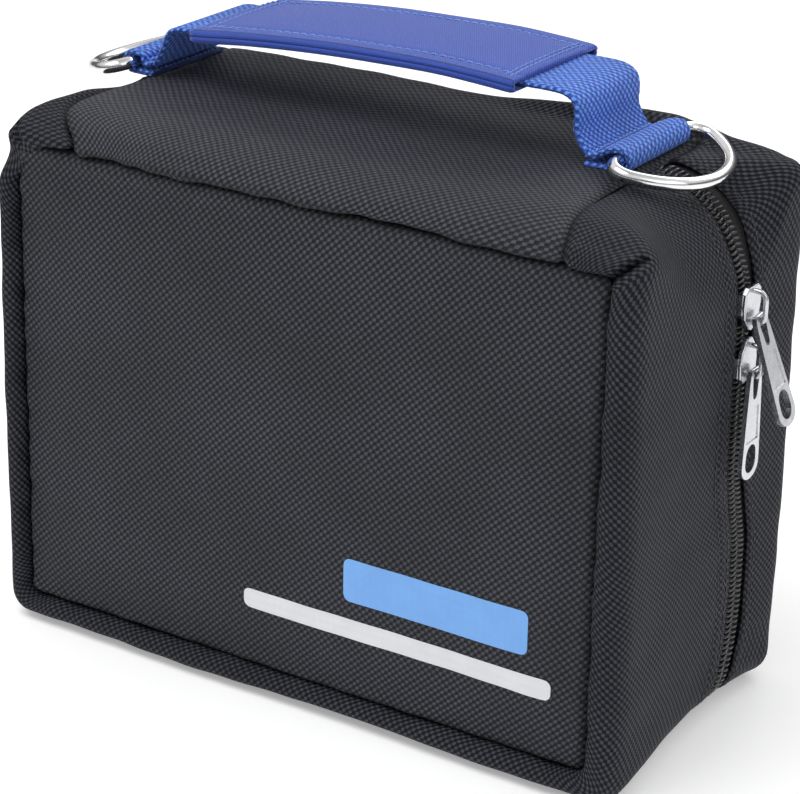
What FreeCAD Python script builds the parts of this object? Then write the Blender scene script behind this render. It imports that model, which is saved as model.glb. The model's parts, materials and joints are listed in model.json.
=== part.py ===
import FreeCAD, Part
import math
import os

# Padded zip-around carry case with a webbing handle and two D-rings.
# Millimetres. +X right, +Y back, +Z up. Origin: centre of the base, on the floor.
# The front half is the cover, the rear half the shell; they meet along the zip line.
V = FreeCAD.Vector
X_AXIS, Y_AXIS, Z_AXIS = V(1, 0, 0), V(0, 1, 0), V(0, 0, 1)
ORIGIN = V(0, 0, 0)

# ---------------------------------------------------------------- body dimensions
HALF_W = 114.0          # half width
HALF_D = 53.0           # half depth
HEIGHT = 170.0          # without the handle
WAIST = 2.0             # how far the sides pull in at the zip
CORNER_SMALL = 10.0     # corners beside the front and back panels
CORNER_TOP_MID = 31.0   # top corners at the zip plane
CORNER_BOT_MID = 13.0   # bottom corners at the zip plane
MIN_CORNER = 0.6
FRONT_SHIFT_Y = -30.0   # sections in front of this move back by the whole inset
REAR_SQUEEZE_Y = 39.0   # sections behind this close up towards it with the inset
FLOOR_DIP = 0.5         # how far the outermost form reaches below the floor before its flat cut

# Layers of the wall, as insets from the outer form
SKIN_T = 1.0
FOAM_IN, FOAM_OUT = 6.1, 1.1
LINING_IN, LINING_OUT = 6.7, 6.2
BINDING_IN, BINDING_OUT = 8.4, 7.1
TAPE_IN, TAPE_OUT = 2.7, 2.1
COIL_IN, COIL_OUT = 2.0, -0.3

# Seams and edges
SEAM_R, SEAM_L = 81.0, -82.5          # side seams of the top panel
HINGE_Y = -8.0                        # fold line of the cover
PANEL_X0, PANEL_X1 = -103.0, 103.5    # front and rear panels, seam to seam
PANEL_Z0, PANEL_Z1 = 8.0, 160.5
REAR_PANEL_RISE = 3.0                 # the rear panel ends this much higher
PANEL_Y = 49.0                        # the panels lie beyond this depth
EDGE_F, EDGE_R = -5.75, 6.2           # folded fabric edges either side of the zip line
HEM_T = 1.0
HEM_DEPTH = TAPE_OUT - 0.05           # hems stop just short of the tape
GAP = 0.1                             # between neighbouring pieces
FABRIC_HINGE_GAP = 0.25
PADDING_HINGE_GAP = 0.4
FOAM_TAPE_GAP = 0.4
FOAM_SIDE_TOP = 138.0
LINING_ZIP_GAP = 3.0
SEAM_INSET = 1.0                      # foam and lining against the top panel's seams
FAR = 200.0                           # beyond the body in every direction

# Body sections: y, side inset, bottom height, top height, top radius, bottom radius
SECTIONS = [
    (-HALF_D, 6.5, 5.5, 160.5, 6.0, 6.0),
    (-50.0, 2.0, 1.5, 163.5, 8.0, 8.0),
    (-46.0, 0.0, 0.0, 166.5, CORNER_SMALL, CORNER_SMALL),
    (-36.0, 0.0, 0.0, HEIGHT, 16.0, CORNER_SMALL),
    (-12.0, 0.8, 0.0, HEIGHT, 33.0, CORNER_SMALL + 1.0),
    (19.0, WAIST, 0.0, HEIGHT, CORNER_TOP_MID, CORNER_BOT_MID),
    (REAR_SQUEEZE_Y, 0.5, 0.0, HEIGHT, 34.0, CORNER_SMALL),
    (44.5, 0.8, 0.0, HEIGHT - 0.4, 31.0, CORNER_SMALL),
    (50.0, 2.2, 2.0, HEIGHT - 1.7, 15.0, 8.0),
    (HALF_D, 6.0, 5.5, HEIGHT - 5.5, 6.0, 6.0),
]

# ---------------------------------------------------------------- zip dimensions
ZIP_Y = 18.0            # depth of the straight run that the sliders use
# The zip line on the side walls: z, y
ZIP_LINE = [
    (-20.0, 20.0), (8.0, 20.5), (22.0, 24.5), (36.0, 25.6), (52.0, 25.4),
    (68.0, 21.6), (80.0, ZIP_Y), (146.0, ZIP_Y), (160.0, 19.5), (200.0, 20.0),
]
TAPE_HALF, TAPE_GAP = 12.4, 0.35      # far and near edge of each tape from the zip line
COIL_HALF, COIL_GAP = 4.55, 0.05
ZIP_END_GAP = 0.3                     # between the zip and the top panel's seams
UPPER_Z, LOWER_Z = 133.0, 117.3       # slider centres
UPPER_TRAVEL, LOWER_TRAVEL = 3.5, 28.0   # how far each slider moves away from the other
TRAVEL_INSET = 2.6                    # the widened channel ends this far inside the travel
SLIDER_HALF_L = 6.7
SLIDER_END_GAP = 0.6

# Sliders, in a local frame: u across the zip, v along it (nose at +v), w outward from the tape.
# Outline of both plates: u, v
SLIDER_OUTLINE = [
    (-3.1, -SLIDER_HALF_L), (3.1, -SLIDER_HALF_L), (4.9, -5.2), (5.3, -1.0), (4.6, 2.6),
    (1.6, 6.3), (0.0, 6.9), (-1.6, 6.3), (-4.6, 2.6), (-5.3, -1.0), (-4.9, -5.2),
]
COIL_TOP = 2.75                       # underside of the top plate
TOP_PLATE_T, BOTTOM_PLATE_T = 1.3, 1.0
PLATE_FILLET = 0.35
UNDER_TAPE = 1.2                      # from the tape's outer face in to the bottom plate
POST_R, POST_V = 1.05, 4.3
LIP_IN, LIP_OUT = 4.75, 5.35
BRIDGE_WIRE, BRIDGE_BEND, BRIDGE_H = 0.75, 2.6, 4.0   # wire radius, bend radius, height
BRIDGE_TAIL, BRIDGE_NOSE = -5.4, 4.4  # places of the legs along v
BRIDGE_ROOT = 0.5                     # the legs sink this far into the plate
TAPE_X = HALF_W - WAIST - TAPE_OUT    # outer face of the tape on the straight run

# Pull tabs hang from the lower leg of each bridge, along -v from the crossbar on u
PULL_T = 1.5
PIVOT_INSET = 2.3                     # from the leg to the crossbar
PIVOT_X = TAPE_X + COIL_TOP + TOP_PLATE_T + 2.0
CROSSBAR_R, CROSSBAR_HALF = 0.75, 2.3
PULL_END_V, PULL_END_HALF, PULL_END_RISE = -30.0, 5.4, 4.4   # the elliptical lower end
# One side of the tab, from the crossbar down: half width u, v
PULL_PROFILE = [
    (0.0, 0.75), (2.0, 0.75), (2.9, 0.3), (3.5, -1.2), (3.9, -5.0),
    (4.7, -17.0), (5.3, -27.0), (PULL_END_HALF, PULL_END_V),
]
RECESS_DEPTH = 0.3
# Outline of the recess on both faces: u, v
RECESS_OUTLINE = [(-3.1, -11.4), (3.1, -11.4), (3.6, -19.0), (3.85, -22.4),
                  (-3.85, -22.4), (-3.6, -19.0)]
# name, nose up, slider z, pivot z, outward tilt, sway to the back (degrees)
SLIDERS = [
    ("upper", False, UPPER_Z, UPPER_Z - (BRIDGE_NOSE - PIVOT_INSET), 17.6, 6.0),
    ("lower", True, LOWER_Z, LOWER_Z + BRIDGE_TAIL + PIVOT_INSET, 0.0, 0.0),
]

# ---------------------------------------------------------------- handle and ring dimensions
WEB_Y0, WEB_Y1 = 2.0, 40.0            # front and back edge of the webbing
WEB_YC = (WEB_Y0 + WEB_Y1) / 2
WEB_T = 1.6
GRIP_Y0, GRIP_Y1 = WEB_YC - 25.0, WEB_YC + 25.0
GRIP_X0, GRIP_X1 = -71.5, 44.5
GRIP_MIN_Z = 186.0
# Centre line of the handle webbing, left foot to right foot: x, z
HANDLE = [
    (-90.1, 174.6), (-88.3, 177.2), (-86.3, 181.2), (-84.3, 185.4), (-80.5, 187.1),
    (-75.0, 187.4), (-66.0, 188.0), (-50.0, 189.8), (-30.0, 191.3), (-8.0, 192.3),
    (16.0, 192.7), (32.0, 192.1), (44.0, 191.3), (51.0, 191.3), (57.0, 190.9),
    (60.6, 188.9), (61.6, 185.2), (61.6, 180.5), (63.4, 176.6), (64.4, 174.6),
]
FOOT_CUT_DEG = 20.5                   # 20 degrees of lean and half a degree of clearance
FOOT_CUT_Z = 174.4                    # point of the V
FOOT_CUT_REACH = 40.0

RUNNING_GAP = 0.1                     # between webbing loop and ring
RING_WIRE = 2.05                      # wire radius
RING_HALF_W, RING_H, RING_CORNER = 25.8, 23.3, 5.5   # on the wire's centre line
BAR_Z = 174.1
# side, direction from fold to bar, bar x, fold x, droop of the free end in degrees
RINGS = [
    ("right", 1, 76.3, 64.8, 13.0),
    ("left", -1, -98.6, -90.6, 15.0),
]


# ---------------------------------------------------------------- helpers
def box(x0, x1, y0, y1, z0, z1):
    return Part.makeBox(x1 - x0, y1 - y0, z1 - z0, V(x0, y0, z0))


def polygon_face(points):
    return Part.Face(Part.makePolygon(points + [points[0]]))


def biggest(shape):
    """The shape's one main solid, without slivers."""
    return max(shape.Solids, key=lambda solid: solid.Volume)


def main_solids(shape):
    """All real solids of a shape, without slivers."""
    solids = [s for s in shape.Solids if s.Volume > 20.0]
    return solids[0] if len(solids) == 1 else Part.makeCompound(solids)


def save(name, shape):
    shape.exportStep("parts/" + name + ".step")


def save_main(name, shape):
    save(name, biggest(shape))


def curve(points):
    spline = Part.BSplineCurve()
    spline.interpolate(points)
    return spline


def strap(points, low, high, y0, y1, steps=90):
    """Flat strap along (x, z) points, between two offsets to the left of travel, y0 to y1."""
    centre = curve([V(x, 0, z) for x, z in points])
    first, last = centre.FirstParameter, centre.LastParameter
    low_side, high_side = [], []
    for i in range(steps + 1):
        u = first + (last - first) * i / steps
        p = centre.value(u)
        tangent = centre.tangent(u)[0]
        normal = V(-tangent.z, 0, tangent.x)
        low_side.append(V(p.x + normal.x * low, y0, p.z + normal.z * low))
        high_side.append(V(p.x + normal.x * high, y0, p.z + normal.z * high))
    outline = Part.Wire([
        curve(low_side).toShape(), Part.makeLine(low_side[-1], high_side[-1]),
        curve(high_side).toShape(), Part.makeLine(low_side[0], high_side[0])])
    face = Part.Face(Part.Wire(Part.__sortEdges__(outline.Edges)))
    return face.extrude(V(0, y1 - y0, 0))


def bent_wire(start, tangent, centre, axis, degrees, radius):
    """A length of round wire bent about an axis."""
    disc = Part.Face(Part.Wire([Part.makeCircle(radius, start, tangent)]))
    return disc.revolve(centre, axis, degrees)


# ---------------------------------------------------------------- body form and cutting zones
def rounded_rectangle(half_x, z0, z1, top_r, bottom_r, y):
    """Closed wire in an XZ plane, with round top and bottom corners."""
    top_r = max(top_r, MIN_CORNER)
    bottom_r = max(bottom_r, MIN_CORNER)

    def arc(cx, cz, radius, start):
        angles = [math.radians(start + turn) for turn in (0, 45, 90)]
        points = [V(cx + radius * math.cos(a), y, cz + radius * math.sin(a)) for a in angles]
        return Part.Arc(*points).toShape()

    top_x, bottom_x = half_x - top_r, half_x - bottom_r
    return Part.Wire([
        Part.makeLine(V(-bottom_x, y, z0), V(bottom_x, y, z0)),
        arc(bottom_x, z0 + bottom_r, bottom_r, -90),
        Part.makeLine(V(half_x, y, z0 + bottom_r), V(half_x, y, z1 - top_r)),
        arc(top_x, z1 - top_r, top_r, 0),
        Part.makeLine(V(top_x, y, z1), V(-top_x, y, z1)),
        arc(-top_x, z1 - top_r, top_r, 90),
        Part.makeLine(V(-half_x, y, z1 - top_r), V(-half_x, y, z0 + bottom_r)),
        arc(-bottom_x, z0 + bottom_r, bottom_r, 180),
    ])


def block(inset):
    """The body's outer form, set in all round. The outermost one is cut flat at the floor."""
    squeeze = (HALF_D - inset - REAR_SQUEEZE_Y) / (HALF_D - REAR_SQUEEZE_Y)
    dip = FLOOR_DIP if inset < 0.05 else 0.0
    wires = []
    for y, side, z0, z1, top_r, bottom_r in SECTIONS:
        if y < FRONT_SHIFT_Y:
            y += inset
        elif y > REAR_SQUEEZE_Y:
            y = REAR_SQUEEZE_Y + (y - REAR_SQUEEZE_Y) * squeeze
        low = z0 + inset - (dip if z0 < 0.1 else 0.0)
        wires.append(rounded_rectangle(HALF_W - side - inset, low, z1 - inset,
                                       top_r - inset * 0.6, bottom_r - inset * 0.6, y))
    form = Part.makeLoft(wires, True, True)
    if dip:
        form = form.cut(box(-150, 150, -100, 100, -20, 0))
    return form


def layer(outer, inner):
    return block(outer).cut(block(inner))


def band(d0, d1):
    """Everything between the zip line offset by d0 and by d1 in depth."""
    x = -130.0
    near = [V(x, y + d0, z) for z, y in ZIP_LINE]
    far = [V(x, y + d1, z) for z, y in reversed(ZIP_LINE)]
    return polygon_face(near + far).extrude(V(-2 * x, 0, 0))


def top_strip(grow, z0):
    """The top panel's strip between its side seams, above z0, widened by grow."""
    return box(SEAM_L - grow, SEAM_R + grow, -FAR, FAR, z0, FAR)


def panel_zone(half, grow=0.0):
    y0, y1, rise = (-FAR, -PANEL_Y, 0.0) if half == "front" else (PANEL_Y, FAR, REAR_PANEL_RISE)
    return box(PANEL_X0 - grow, PANEL_X1 + grow, y0, y1, PANEL_Z0 - grow, PANEL_Z1 + rise + grow)


def hinge_zone(half, gap):
    """The top of the case on one side of the cover's fold line."""
    y0, y1 = (-FAR, HINGE_Y - gap) if half == "front" else (HINGE_Y + gap, FAR)
    return box(-FAR, FAR, y0, y1, 100, FAR)


# ---------------------------------------------------------------- outer fabric
def build_fabric(half, side_band, hem_band):
    """Panel, gusset with its folded hem, and this half's share of the top panel."""
    save_main(half + "_panel", skin.common(panel_zone(half)))
    clear_of_panel = panel_zone(half, GAP)
    gusset = skin.common(side_band).fuse(hem_layer.common(hem_band))
    save_main(half + "_gusset", gusset.cut(top_strip(GAP, 150.0)).cut(clear_of_panel))
    top = skin.common(top_strip(-GAP, 150.0)).common(hinge_zone(half, FABRIC_HINGE_GAP))
    save_main("top_panel_" + half, top.cut(clear_of_panel))


# ---------------------------------------------------------------- foam padding
def build_foam(half, keep, panel_y, wall_y, top_y):
    """Flat sheets behind the fabric; keep holds the side and bottom sheets off the tapes."""
    inner_x = HALF_W - FOAM_IN
    save_main(half + "_foam_panel", foam.common(box(-FAR, FAR, *panel_y, -1, FAR)))
    for side, x0, x1 in (("left", -HALF_W, -inner_x), ("right", inner_x, HALF_W)):
        sheet = foam.common(box(x0, x1, *wall_y, FOAM_IN + GAP, FOAM_SIDE_TOP))
        save_main(half + "_foam_" + side, sheet.common(keep))
    bottom_x = inner_x - GAP
    bottom = foam.common(box(-bottom_x, bottom_x, *wall_y, 0, FOAM_IN))
    save_main(half + "_foam_bottom", bottom.common(keep))
    save_main(half + "_foam_top", foam.common(
        box(SEAM_L + SEAM_INSET, SEAM_R - SEAM_INSET, *top_y, HEIGHT - FOAM_IN, HEIGHT)))


# ---------------------------------------------------------------- lining
def build_lining(half, side_band, strip_grow):
    strip = top_strip(strip_grow, 130.0)
    top = lining.common(strip).common(hinge_zone(half, PADDING_HINGE_GAP))
    save_main(half + "_lining", lining.common(side_band).cut(strip).fuse(top))


# ---------------------------------------------------------------- zip tapes and coils
def build_zip():
    above = top_strip(ZIP_END_GAP, 120.0)
    # tapes and coils stand apart where the sliders run, to let the post in each nose through
    channel = box(100, 130, ZIP_Y - 1.25, ZIP_Y + 1.35,
                  LOWER_Z - LOWER_TRAVEL + TRAVEL_INSET, UPPER_Z + UPPER_TRAVEL - TRAVEL_INSET)
    tape = layer(TAPE_OUT, TAPE_IN).cut(above).cut(channel)
    save_main("zip_tape_front", tape.common(band(-TAPE_HALF, -TAPE_GAP)))
    save_main("zip_tape_rear", tape.common(band(TAPE_GAP, TAPE_HALF)))
    coil = layer(COIL_OUT, COIL_IN).cut(above).cut(channel)
    # the front coil has a gap under the sliders, which leaves it in several lengths
    reach = SLIDER_HALF_L + SLIDER_END_GAP
    slider_gap = box(100, 130, 0, ZIP_Y + 0.3, LOWER_Z - reach, UPPER_Z + reach)
    front_coil = coil.common(band(-COIL_HALF, -COIL_GAP))
    save("zip_coil_front", main_solids(front_coil.cut(slider_gap)))
    save_main("zip_coil_rear", coil.common(band(COIL_GAP, COIL_HALF)))


# ---------------------------------------------------------------- D-rings and their loops
def ring_loop(fold, bar, sign):
    """Webbing from the fold round the ring's bar and back, as one strap."""
    radius = RING_WIRE + RUNNING_GAP + WEB_T / 2
    low, high = BAR_Z - radius, BAR_Z + radius
    points = [(fold - sign * 3.0, low), (fold + sign * 4.0, low), (bar - sign * 3.0, low)]
    for k in range(9):
        a = math.radians(-90 + 22.5 * k)
        points.append((bar + sign * radius * math.cos(a), BAR_Z + radius * math.sin(a)))
    points += [(bar - sign * 3.4, high - 0.5),
               (fold + sign * 3.6, low + WEB_T + 1.3),
               (fold + sign * 0.6, low + WEB_T + 1.25)]
    return strap(points, -WEB_T / 2, WEB_T / 2, WEB_Y0, WEB_Y1, 140)


def d_ring(bar_x, sign, droop):
    """Straight bar along Y, two round corners and a bow, built lying flat."""
    corner_y = RING_HALF_W - RING_CORNER
    a = RING_CORNER - RING_H
    # bow radius, tangent to both corners
    bow_r = (RING_CORNER ** 2 - a * a - corner_y ** 2) / (2.0 * (a + RING_CORNER))
    bow_x = RING_H - bow_r
    # half angle of the bow, from its centre to a corner's centre
    bow_deg = math.degrees(math.atan2(corner_y, RING_CORNER - bow_x))
    body = Part.makeCylinder(RING_WIRE, 2 * corner_y, V(0, -corner_y, 0), Y_AXIS)
    for end in (1, -1):
        body = body.fuse(bent_wire(
            V(0, end * corner_y, 0), Y_AXIS, V(RING_CORNER, end * corner_y, 0), Z_AXIS,
            -end * (180.0 - bow_deg), RING_WIRE))
    for end in (1, -1):
        body = body.fuse(bent_wire(
            V(RING_H, 0, 0), Y_AXIS, V(bow_x, 0, 0), Z_AXIS, end * bow_deg, RING_WIRE))
    body = biggest(body)
    if sign < 0:
        body.rotate(ORIGIN, Z_AXIS, 180)
    body.rotate(ORIGIN, Y_AXIS, droop * sign)
    body.translate(V(bar_x, WEB_YC, BAR_Z))
    return body


# ---------------------------------------------------------------- handle
def handle_webbing():
    web = strap(HANDLE, -WEB_T / 2, WEB_T / 2, WEB_Y0, WEB_Y1, 160)
    # the feet are cut to a shallow V so that the strap can lean without meeting the sewn loops
    rise = FOOT_CUT_REACH * math.tan(math.radians(FOOT_CUT_DEG))
    for sign in (1, -1):
        far_y = WEB_YC + sign * FOOT_CUT_REACH
        wedge = polygon_face([
            V(-130, WEB_YC, FOOT_CUT_Z), V(-130, far_y, FOOT_CUT_Z + rise),
            V(-130, far_y, 150), V(-130, WEB_YC, 150)]).extrude(V(260, 0, 0))
        right_foot = wedge.common(box(56, 72, -20, 70, 150, 186.5))
        left_foot = wedge.common(box(-96, -82.5, -20, 70, 150, 184.0))
        web = web.cut(right_foot).cut(left_foot)
    return web


def grip_line():
    """Points (x, z) of the handle's centre line under the grip."""
    centre = curve([V(x, 0, z) for x, z in HANDLE])
    first, last = centre.FirstParameter, centre.LastParameter
    line = []
    for i in range(401):
        p = centre.value(first + (last - first) * i / 400.0)
        if GRIP_X0 <= p.x <= GRIP_X1 and p.z > GRIP_MIN_Z:
            line.append((p.x, p.z))
    return [line[0]] + line[6:-6:12] + [line[-1]]


def build_grip():
    def beyond(end, neighbour):
        return (2 * end[0] - neighbour[0], 2 * end[1] - neighbour[1])

    line = grip_line()
    # the hollow runs on past both ends of the sleeve to leave them open
    long_line = [beyond(line[0], line[1])] + line + [beyond(line[-1], line[-2])]
    sleeve = strap(line, -1.7, 2.5, GRIP_Y0, GRIP_Y1)
    hollow = strap(long_line, -0.9, 1.85, GRIP_Y0 + 1.0, GRIP_Y1 - 1.0)
    save_main("grip_sleeve", sleeve.cut(hollow))
    save_main("grip_padding", strap(line, 0.9, 1.75, GRIP_Y0 + 3.0, GRIP_Y1 - 3.0))


# ---------------------------------------------------------------- sliders and pulls
def soften(shape, radius, edges):
    # guards against a fillet that fails or spoils the plate: the plate then stays sharp
    try:
        rounded = shape.makeFillet(radius, edges)
        if rounded.isValid() and rounded.Volume > 0.5 * shape.Volume:
            return rounded
    except Exception:
        pass
    return shape


def bridge():
    """Arch of round wire over the top plate, in the v-w plane."""
    plate_w = COIL_TOP + TOP_PLATE_T
    bend_w = plate_w + BRIDGE_H - BRIDGE_BEND
    leg_h = BRIDGE_H - BRIDGE_BEND + BRIDGE_ROOT
    ends = ((BRIDGE_TAIL, 1), (BRIDGE_NOSE, -1))
    legs = [Part.makeCylinder(BRIDGE_WIRE, leg_h, V(0, v, plate_w - BRIDGE_ROOT))
            for v, _ in ends]
    bends = [bent_wire(V(0, v, bend_w), Z_AXIS, V(0, v + inward * BRIDGE_BEND, bend_w), X_AXIS,
                       -90 * inward, BRIDGE_WIRE) for v, inward in ends]
    run = Part.makeCylinder(BRIDGE_WIRE, BRIDGE_NOSE - BRIDGE_TAIL - 2 * BRIDGE_BEND,
                            V(0, BRIDGE_TAIL + BRIDGE_BEND, plate_w + BRIDGE_H), Y_AXIS)
    return legs[0].fuse([legs[1]] + bends + [run])


def slider():
    base = polygon_face([V(u, v, 0) for u, v in SLIDER_OUTLINE])
    top = base.extrude(V(0, 0, TOP_PLATE_T))
    rim = [e for e in top.Edges if min(p.Z for p in e.Vertexes) > TOP_PLATE_T - 0.1]
    top = soften(top, PLATE_FILLET, rim)
    top.translate(V(0, 0, COIL_TOP))
    bottom = base.extrude(V(0, 0, BOTTOM_PLATE_T))
    bottom.translate(V(0, 0, -UNDER_TAPE - BOTTOM_PLATE_T))
    # nose post, sunk 0.2 into both plates
    post = Part.makeCylinder(POST_R, COIL_TOP + UNDER_TAPE + 0.4,
                             V(0, POST_V, -UNDER_TAPE - 0.2))
    # side lips that keep the coil in, open beside the nose
    lips = [box(u0, u1, -5.0, 1.2, 0.7, COIL_TOP + 0.3)
            for u0, u1 in ((LIP_IN, LIP_OUT), (-LIP_OUT, -LIP_IN))]
    return top.fuse([bottom, post] + lips).fuse(bridge()).removeSplitter()


def window(top_r, bottom_r, top_v, bottom_v):
    """Cutter for a round-ended window that tapers from top_v down to bottom_v."""
    points = []
    for centre_v, r, start in ((top_v - top_r, top_r, 0.0), (bottom_v + bottom_r, bottom_r, 180.0)):
        for k in range(9):
            a = math.radians(start + 180.0 * k / 8)
            points.append(V(r * math.cos(a), centre_v + r * math.sin(a), -2))
    return polygon_face(points).extrude(V(0, 0, 4))


def pull():
    right = [V(u, v, 0) for u, v in PULL_PROFILE]
    for k in range(1, 9):
        a = math.radians(-90.0 * k / 8)
        right.append(V(PULL_END_HALF * math.cos(a), PULL_END_V + PULL_END_RISE * math.sin(a), 0))
    left = [V(-p.x, p.y, 0) for p in reversed(right[1:-1])]
    tab = polygon_face(right + left).extrude(V(0, 0, PULL_T))
    tab.translate(V(0, 0, -PULL_T / 2))
    tab = tab.cut(window(1.95, 1.3, -0.75, -9.0))
    tab = tab.cut(window(3.1, 3.3, -23.4, -32.4))
    # round crossbar that turns in the slider's bridge
    tab = tab.cut(box(-2.05, 2.05, -0.76, 2.0, -2, 2))
    tab = tab.fuse(Part.makeCylinder(CROSSBAR_R, 2 * CROSSBAR_HALF,
                                     V(-CROSSBAR_HALF, 0, 0), X_AXIS))
    # shallow recess on both faces inside the raised rim
    for w in (PULL_T / 2 - RECESS_DEPTH, -PULL_T / 2):
        recess = polygon_face([V(u, v, w) for u, v in RECESS_OUTLINE])
        tab = tab.cut(recess.extrude(V(0, 0, RECESS_DEPTH)))
    return tab


def stand(shape, nose_up, x=0.0, y=0.0, z=0.0):
    """Turns w to +X, and u and v to +Y and +Z (nose up) or to -Y and -Z (nose down)."""
    s = 1 if nose_up else -1
    return shape.transformed(FreeCAD.Matrix(0, 0, 1, x,
                                            s, 0, 0, y,
                                            0, s, 0, z,
                                            0, 0, 0, 1))


def hung_pull(pivot_z, tilt, sway):
    tab = stand(pull(), True)
    tab.rotate(ORIGIN, X_AXIS, sway)
    tab.rotate(ORIGIN, Y_AXIS, -tilt)
    tab.translate(V(PIVOT_X, ZIP_Y, pivot_z))
    return tab


# ---------------------------------------------------------------- build
os.makedirs("parts", exist_ok=True)

skin = layer(0.0, SKIN_T)
hem_layer = layer(0.0, HEM_DEPTH)
build_fabric("front", band(-FAR, EDGE_F), band(EDGE_F - HEM_T, EDGE_F))
build_fabric("rear", band(EDGE_R, FAR), band(EDGE_R, EDGE_R + HEM_T))

foam = block(FOAM_OUT)
foam_y = HALF_D - FOAM_IN             # inner face of the front and rear sheets
wall_end = foam_y - GAP
tape_clear = TAPE_HALF + FOAM_TAPE_GAP
build_foam("front", band(-FAR, -tape_clear), (-HALF_D, -foam_y),
           (-wall_end, 60), (-wall_end, HINGE_Y - PADDING_HINGE_GAP))
build_foam("rear", band(tape_clear, FAR), (foam_y, HALF_D),
           (20, wall_end), (HINGE_Y + PADDING_HINGE_GAP, wall_end))

lining = layer(LINING_OUT, LINING_IN)
build_lining("front", band(-FAR, -LINING_ZIP_GAP), SEAM_INSET)
build_lining("rear", band(LINING_ZIP_GAP, FAR), -SEAM_INSET)

binding = layer(BINDING_OUT, BINDING_IN)
for half, y0, y1 in (("front", -45.6, -37.6), ("rear", 35.0, 42.0)):
    save_main(half + "_seam_binding", binding.common(box(-FAR, FAR, y0, y1, -1, FAR)))

build_zip()

for side, sign, bar_x, fold_x, droop in RINGS:
    save("ring_loop_" + side, ring_loop(fold_x, bar_x, sign))
    save("d_ring_" + side, d_ring(bar_x, sign, droop))

save_main("handle_webbing", handle_webbing())
build_grip()

for name, nose_up, slider_z, pivot_z, tilt, sway in SLIDERS:
    save("slider_" + name, stand(slider(), nose_up, TAPE_X, ZIP_Y, slider_z))
    save("pull_" + name, hung_pull(pivot_z, tilt, sway))
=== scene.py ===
"""A padded, zipped nylon case with a blue webbing handle on D-rings.

The case rests on z = 0 with its front panel facing -y; x runs left to right seen from the front
and the zip goes down both sides and across the bottom. Shapes are worked out in millimetres and
become metres in make_object. The front cover swings on the rear shell about a fold in the top.
"""

import json
import math

import bmesh
import bpy
import numpy as np
from mathutils import Matrix, Vector


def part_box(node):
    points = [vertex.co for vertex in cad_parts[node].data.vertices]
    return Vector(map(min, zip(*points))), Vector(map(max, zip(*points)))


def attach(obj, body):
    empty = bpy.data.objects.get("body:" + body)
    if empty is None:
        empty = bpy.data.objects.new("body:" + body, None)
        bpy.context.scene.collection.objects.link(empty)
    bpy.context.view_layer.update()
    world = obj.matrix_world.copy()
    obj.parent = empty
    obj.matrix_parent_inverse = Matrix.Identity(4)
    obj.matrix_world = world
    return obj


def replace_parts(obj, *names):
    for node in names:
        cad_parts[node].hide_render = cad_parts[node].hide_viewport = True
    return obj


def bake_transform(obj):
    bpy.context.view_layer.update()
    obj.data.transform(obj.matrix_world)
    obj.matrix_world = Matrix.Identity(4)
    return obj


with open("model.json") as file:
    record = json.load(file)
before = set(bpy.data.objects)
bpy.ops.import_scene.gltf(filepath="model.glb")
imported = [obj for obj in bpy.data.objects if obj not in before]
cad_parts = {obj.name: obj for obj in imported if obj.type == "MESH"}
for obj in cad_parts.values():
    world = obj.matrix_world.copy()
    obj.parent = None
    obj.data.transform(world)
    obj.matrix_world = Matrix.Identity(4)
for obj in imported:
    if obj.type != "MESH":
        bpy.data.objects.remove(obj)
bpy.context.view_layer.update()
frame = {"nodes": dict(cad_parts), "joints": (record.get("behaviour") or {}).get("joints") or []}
pieces = frame["nodes"]
joints = {joint["name"]: joint for joint in frame["joints"]}
MM = 0.001
TAU = 2 * math.pi


def box_mm(name):
    low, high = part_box(name)
    return np.array(low) * 1000.0, np.array(high) * 1000.0


def joint_mm(name):
    return np.array(joints[name]["pos_m"]) * 1000.0


# ------------------------------------------------------------------ driving sizes, mm
HALF_WIDTH = float(box_mm("front_gusset")[1][0])
top_panel_high = box_mm("top_panel_rear")[1]
HEIGHT = float(top_panel_high[2])
panel_low, panel_high = box_mm("front_panel")
PANEL_LEFT, PANEL_RIGHT = float(panel_low[0]) + 0.5, float(panel_high[0]) + 0.25
PANEL_LOW, PANEL_HIGH = float(panel_low[2]), float(panel_high[2])
BACK_HIGH = PANEL_HIGH + 3.5            # the rear panel reaches a little higher
SEAM_LEFT = -95.0                       # the left top seam runs further out, under the ring loop
SEAM_RIGHT = float(top_panel_high[0])
HINGE_Y, HINGE_Z = (float(v) for v in joint_mm("cover_hinge")[1:])
BAR_RIGHT, BAR_LEFT = joint_mm("ring_right_swing"), joint_mm("ring_left_swing")
WEB_Y0, WEB_Y1 = (float(corner[1]) for corner in box_mm("handle_webbing"))


# ------------------------------------------------------------------ curves and fields


def pchip(xs, ys):
    """Smooth curve through points that doesn't overshoot."""
    xs, ys = np.array(xs, float), np.array(ys, float)
    step = np.diff(xs)
    rise = np.diff(ys) / step
    slope = np.zeros(len(xs))
    slope[0], slope[-1] = rise[0], rise[-1]
    for i in range(1, len(xs) - 1):
        before, after = rise[i - 1], rise[i]
        slope[i] = 0.0 if before * after <= 0 else 2 * before * after / (before + after)

    def curve(x):
        x = np.clip(np.asarray(x, float), xs[0], xs[-1])
        i = np.clip(np.searchsorted(xs, x) - 1, 0, len(step) - 1)
        t = (x - xs[i]) / step[i]
        return (ys[i] * (1 + 2 * t) * (1 - t) ** 2 + ys[i + 1] * t * t * (3 - 2 * t)
                + step[i] * (slope[i] * t * (1 - t) ** 2 - slope[i + 1] * t * t * (1 - t)))
    return curve


def smooth(t):
    t = np.clip(t, 0, 1)
    return t * t * (3 - 2 * t)


def bell(x, width, centre=0.0):
    return np.exp(-((x - centre) / width) ** 2)


def join(*coords):
    """Coordinate arrays, broadcast together, as one array of points."""
    return np.stack(np.broadcast_arrays(*coords), -1)


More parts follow.
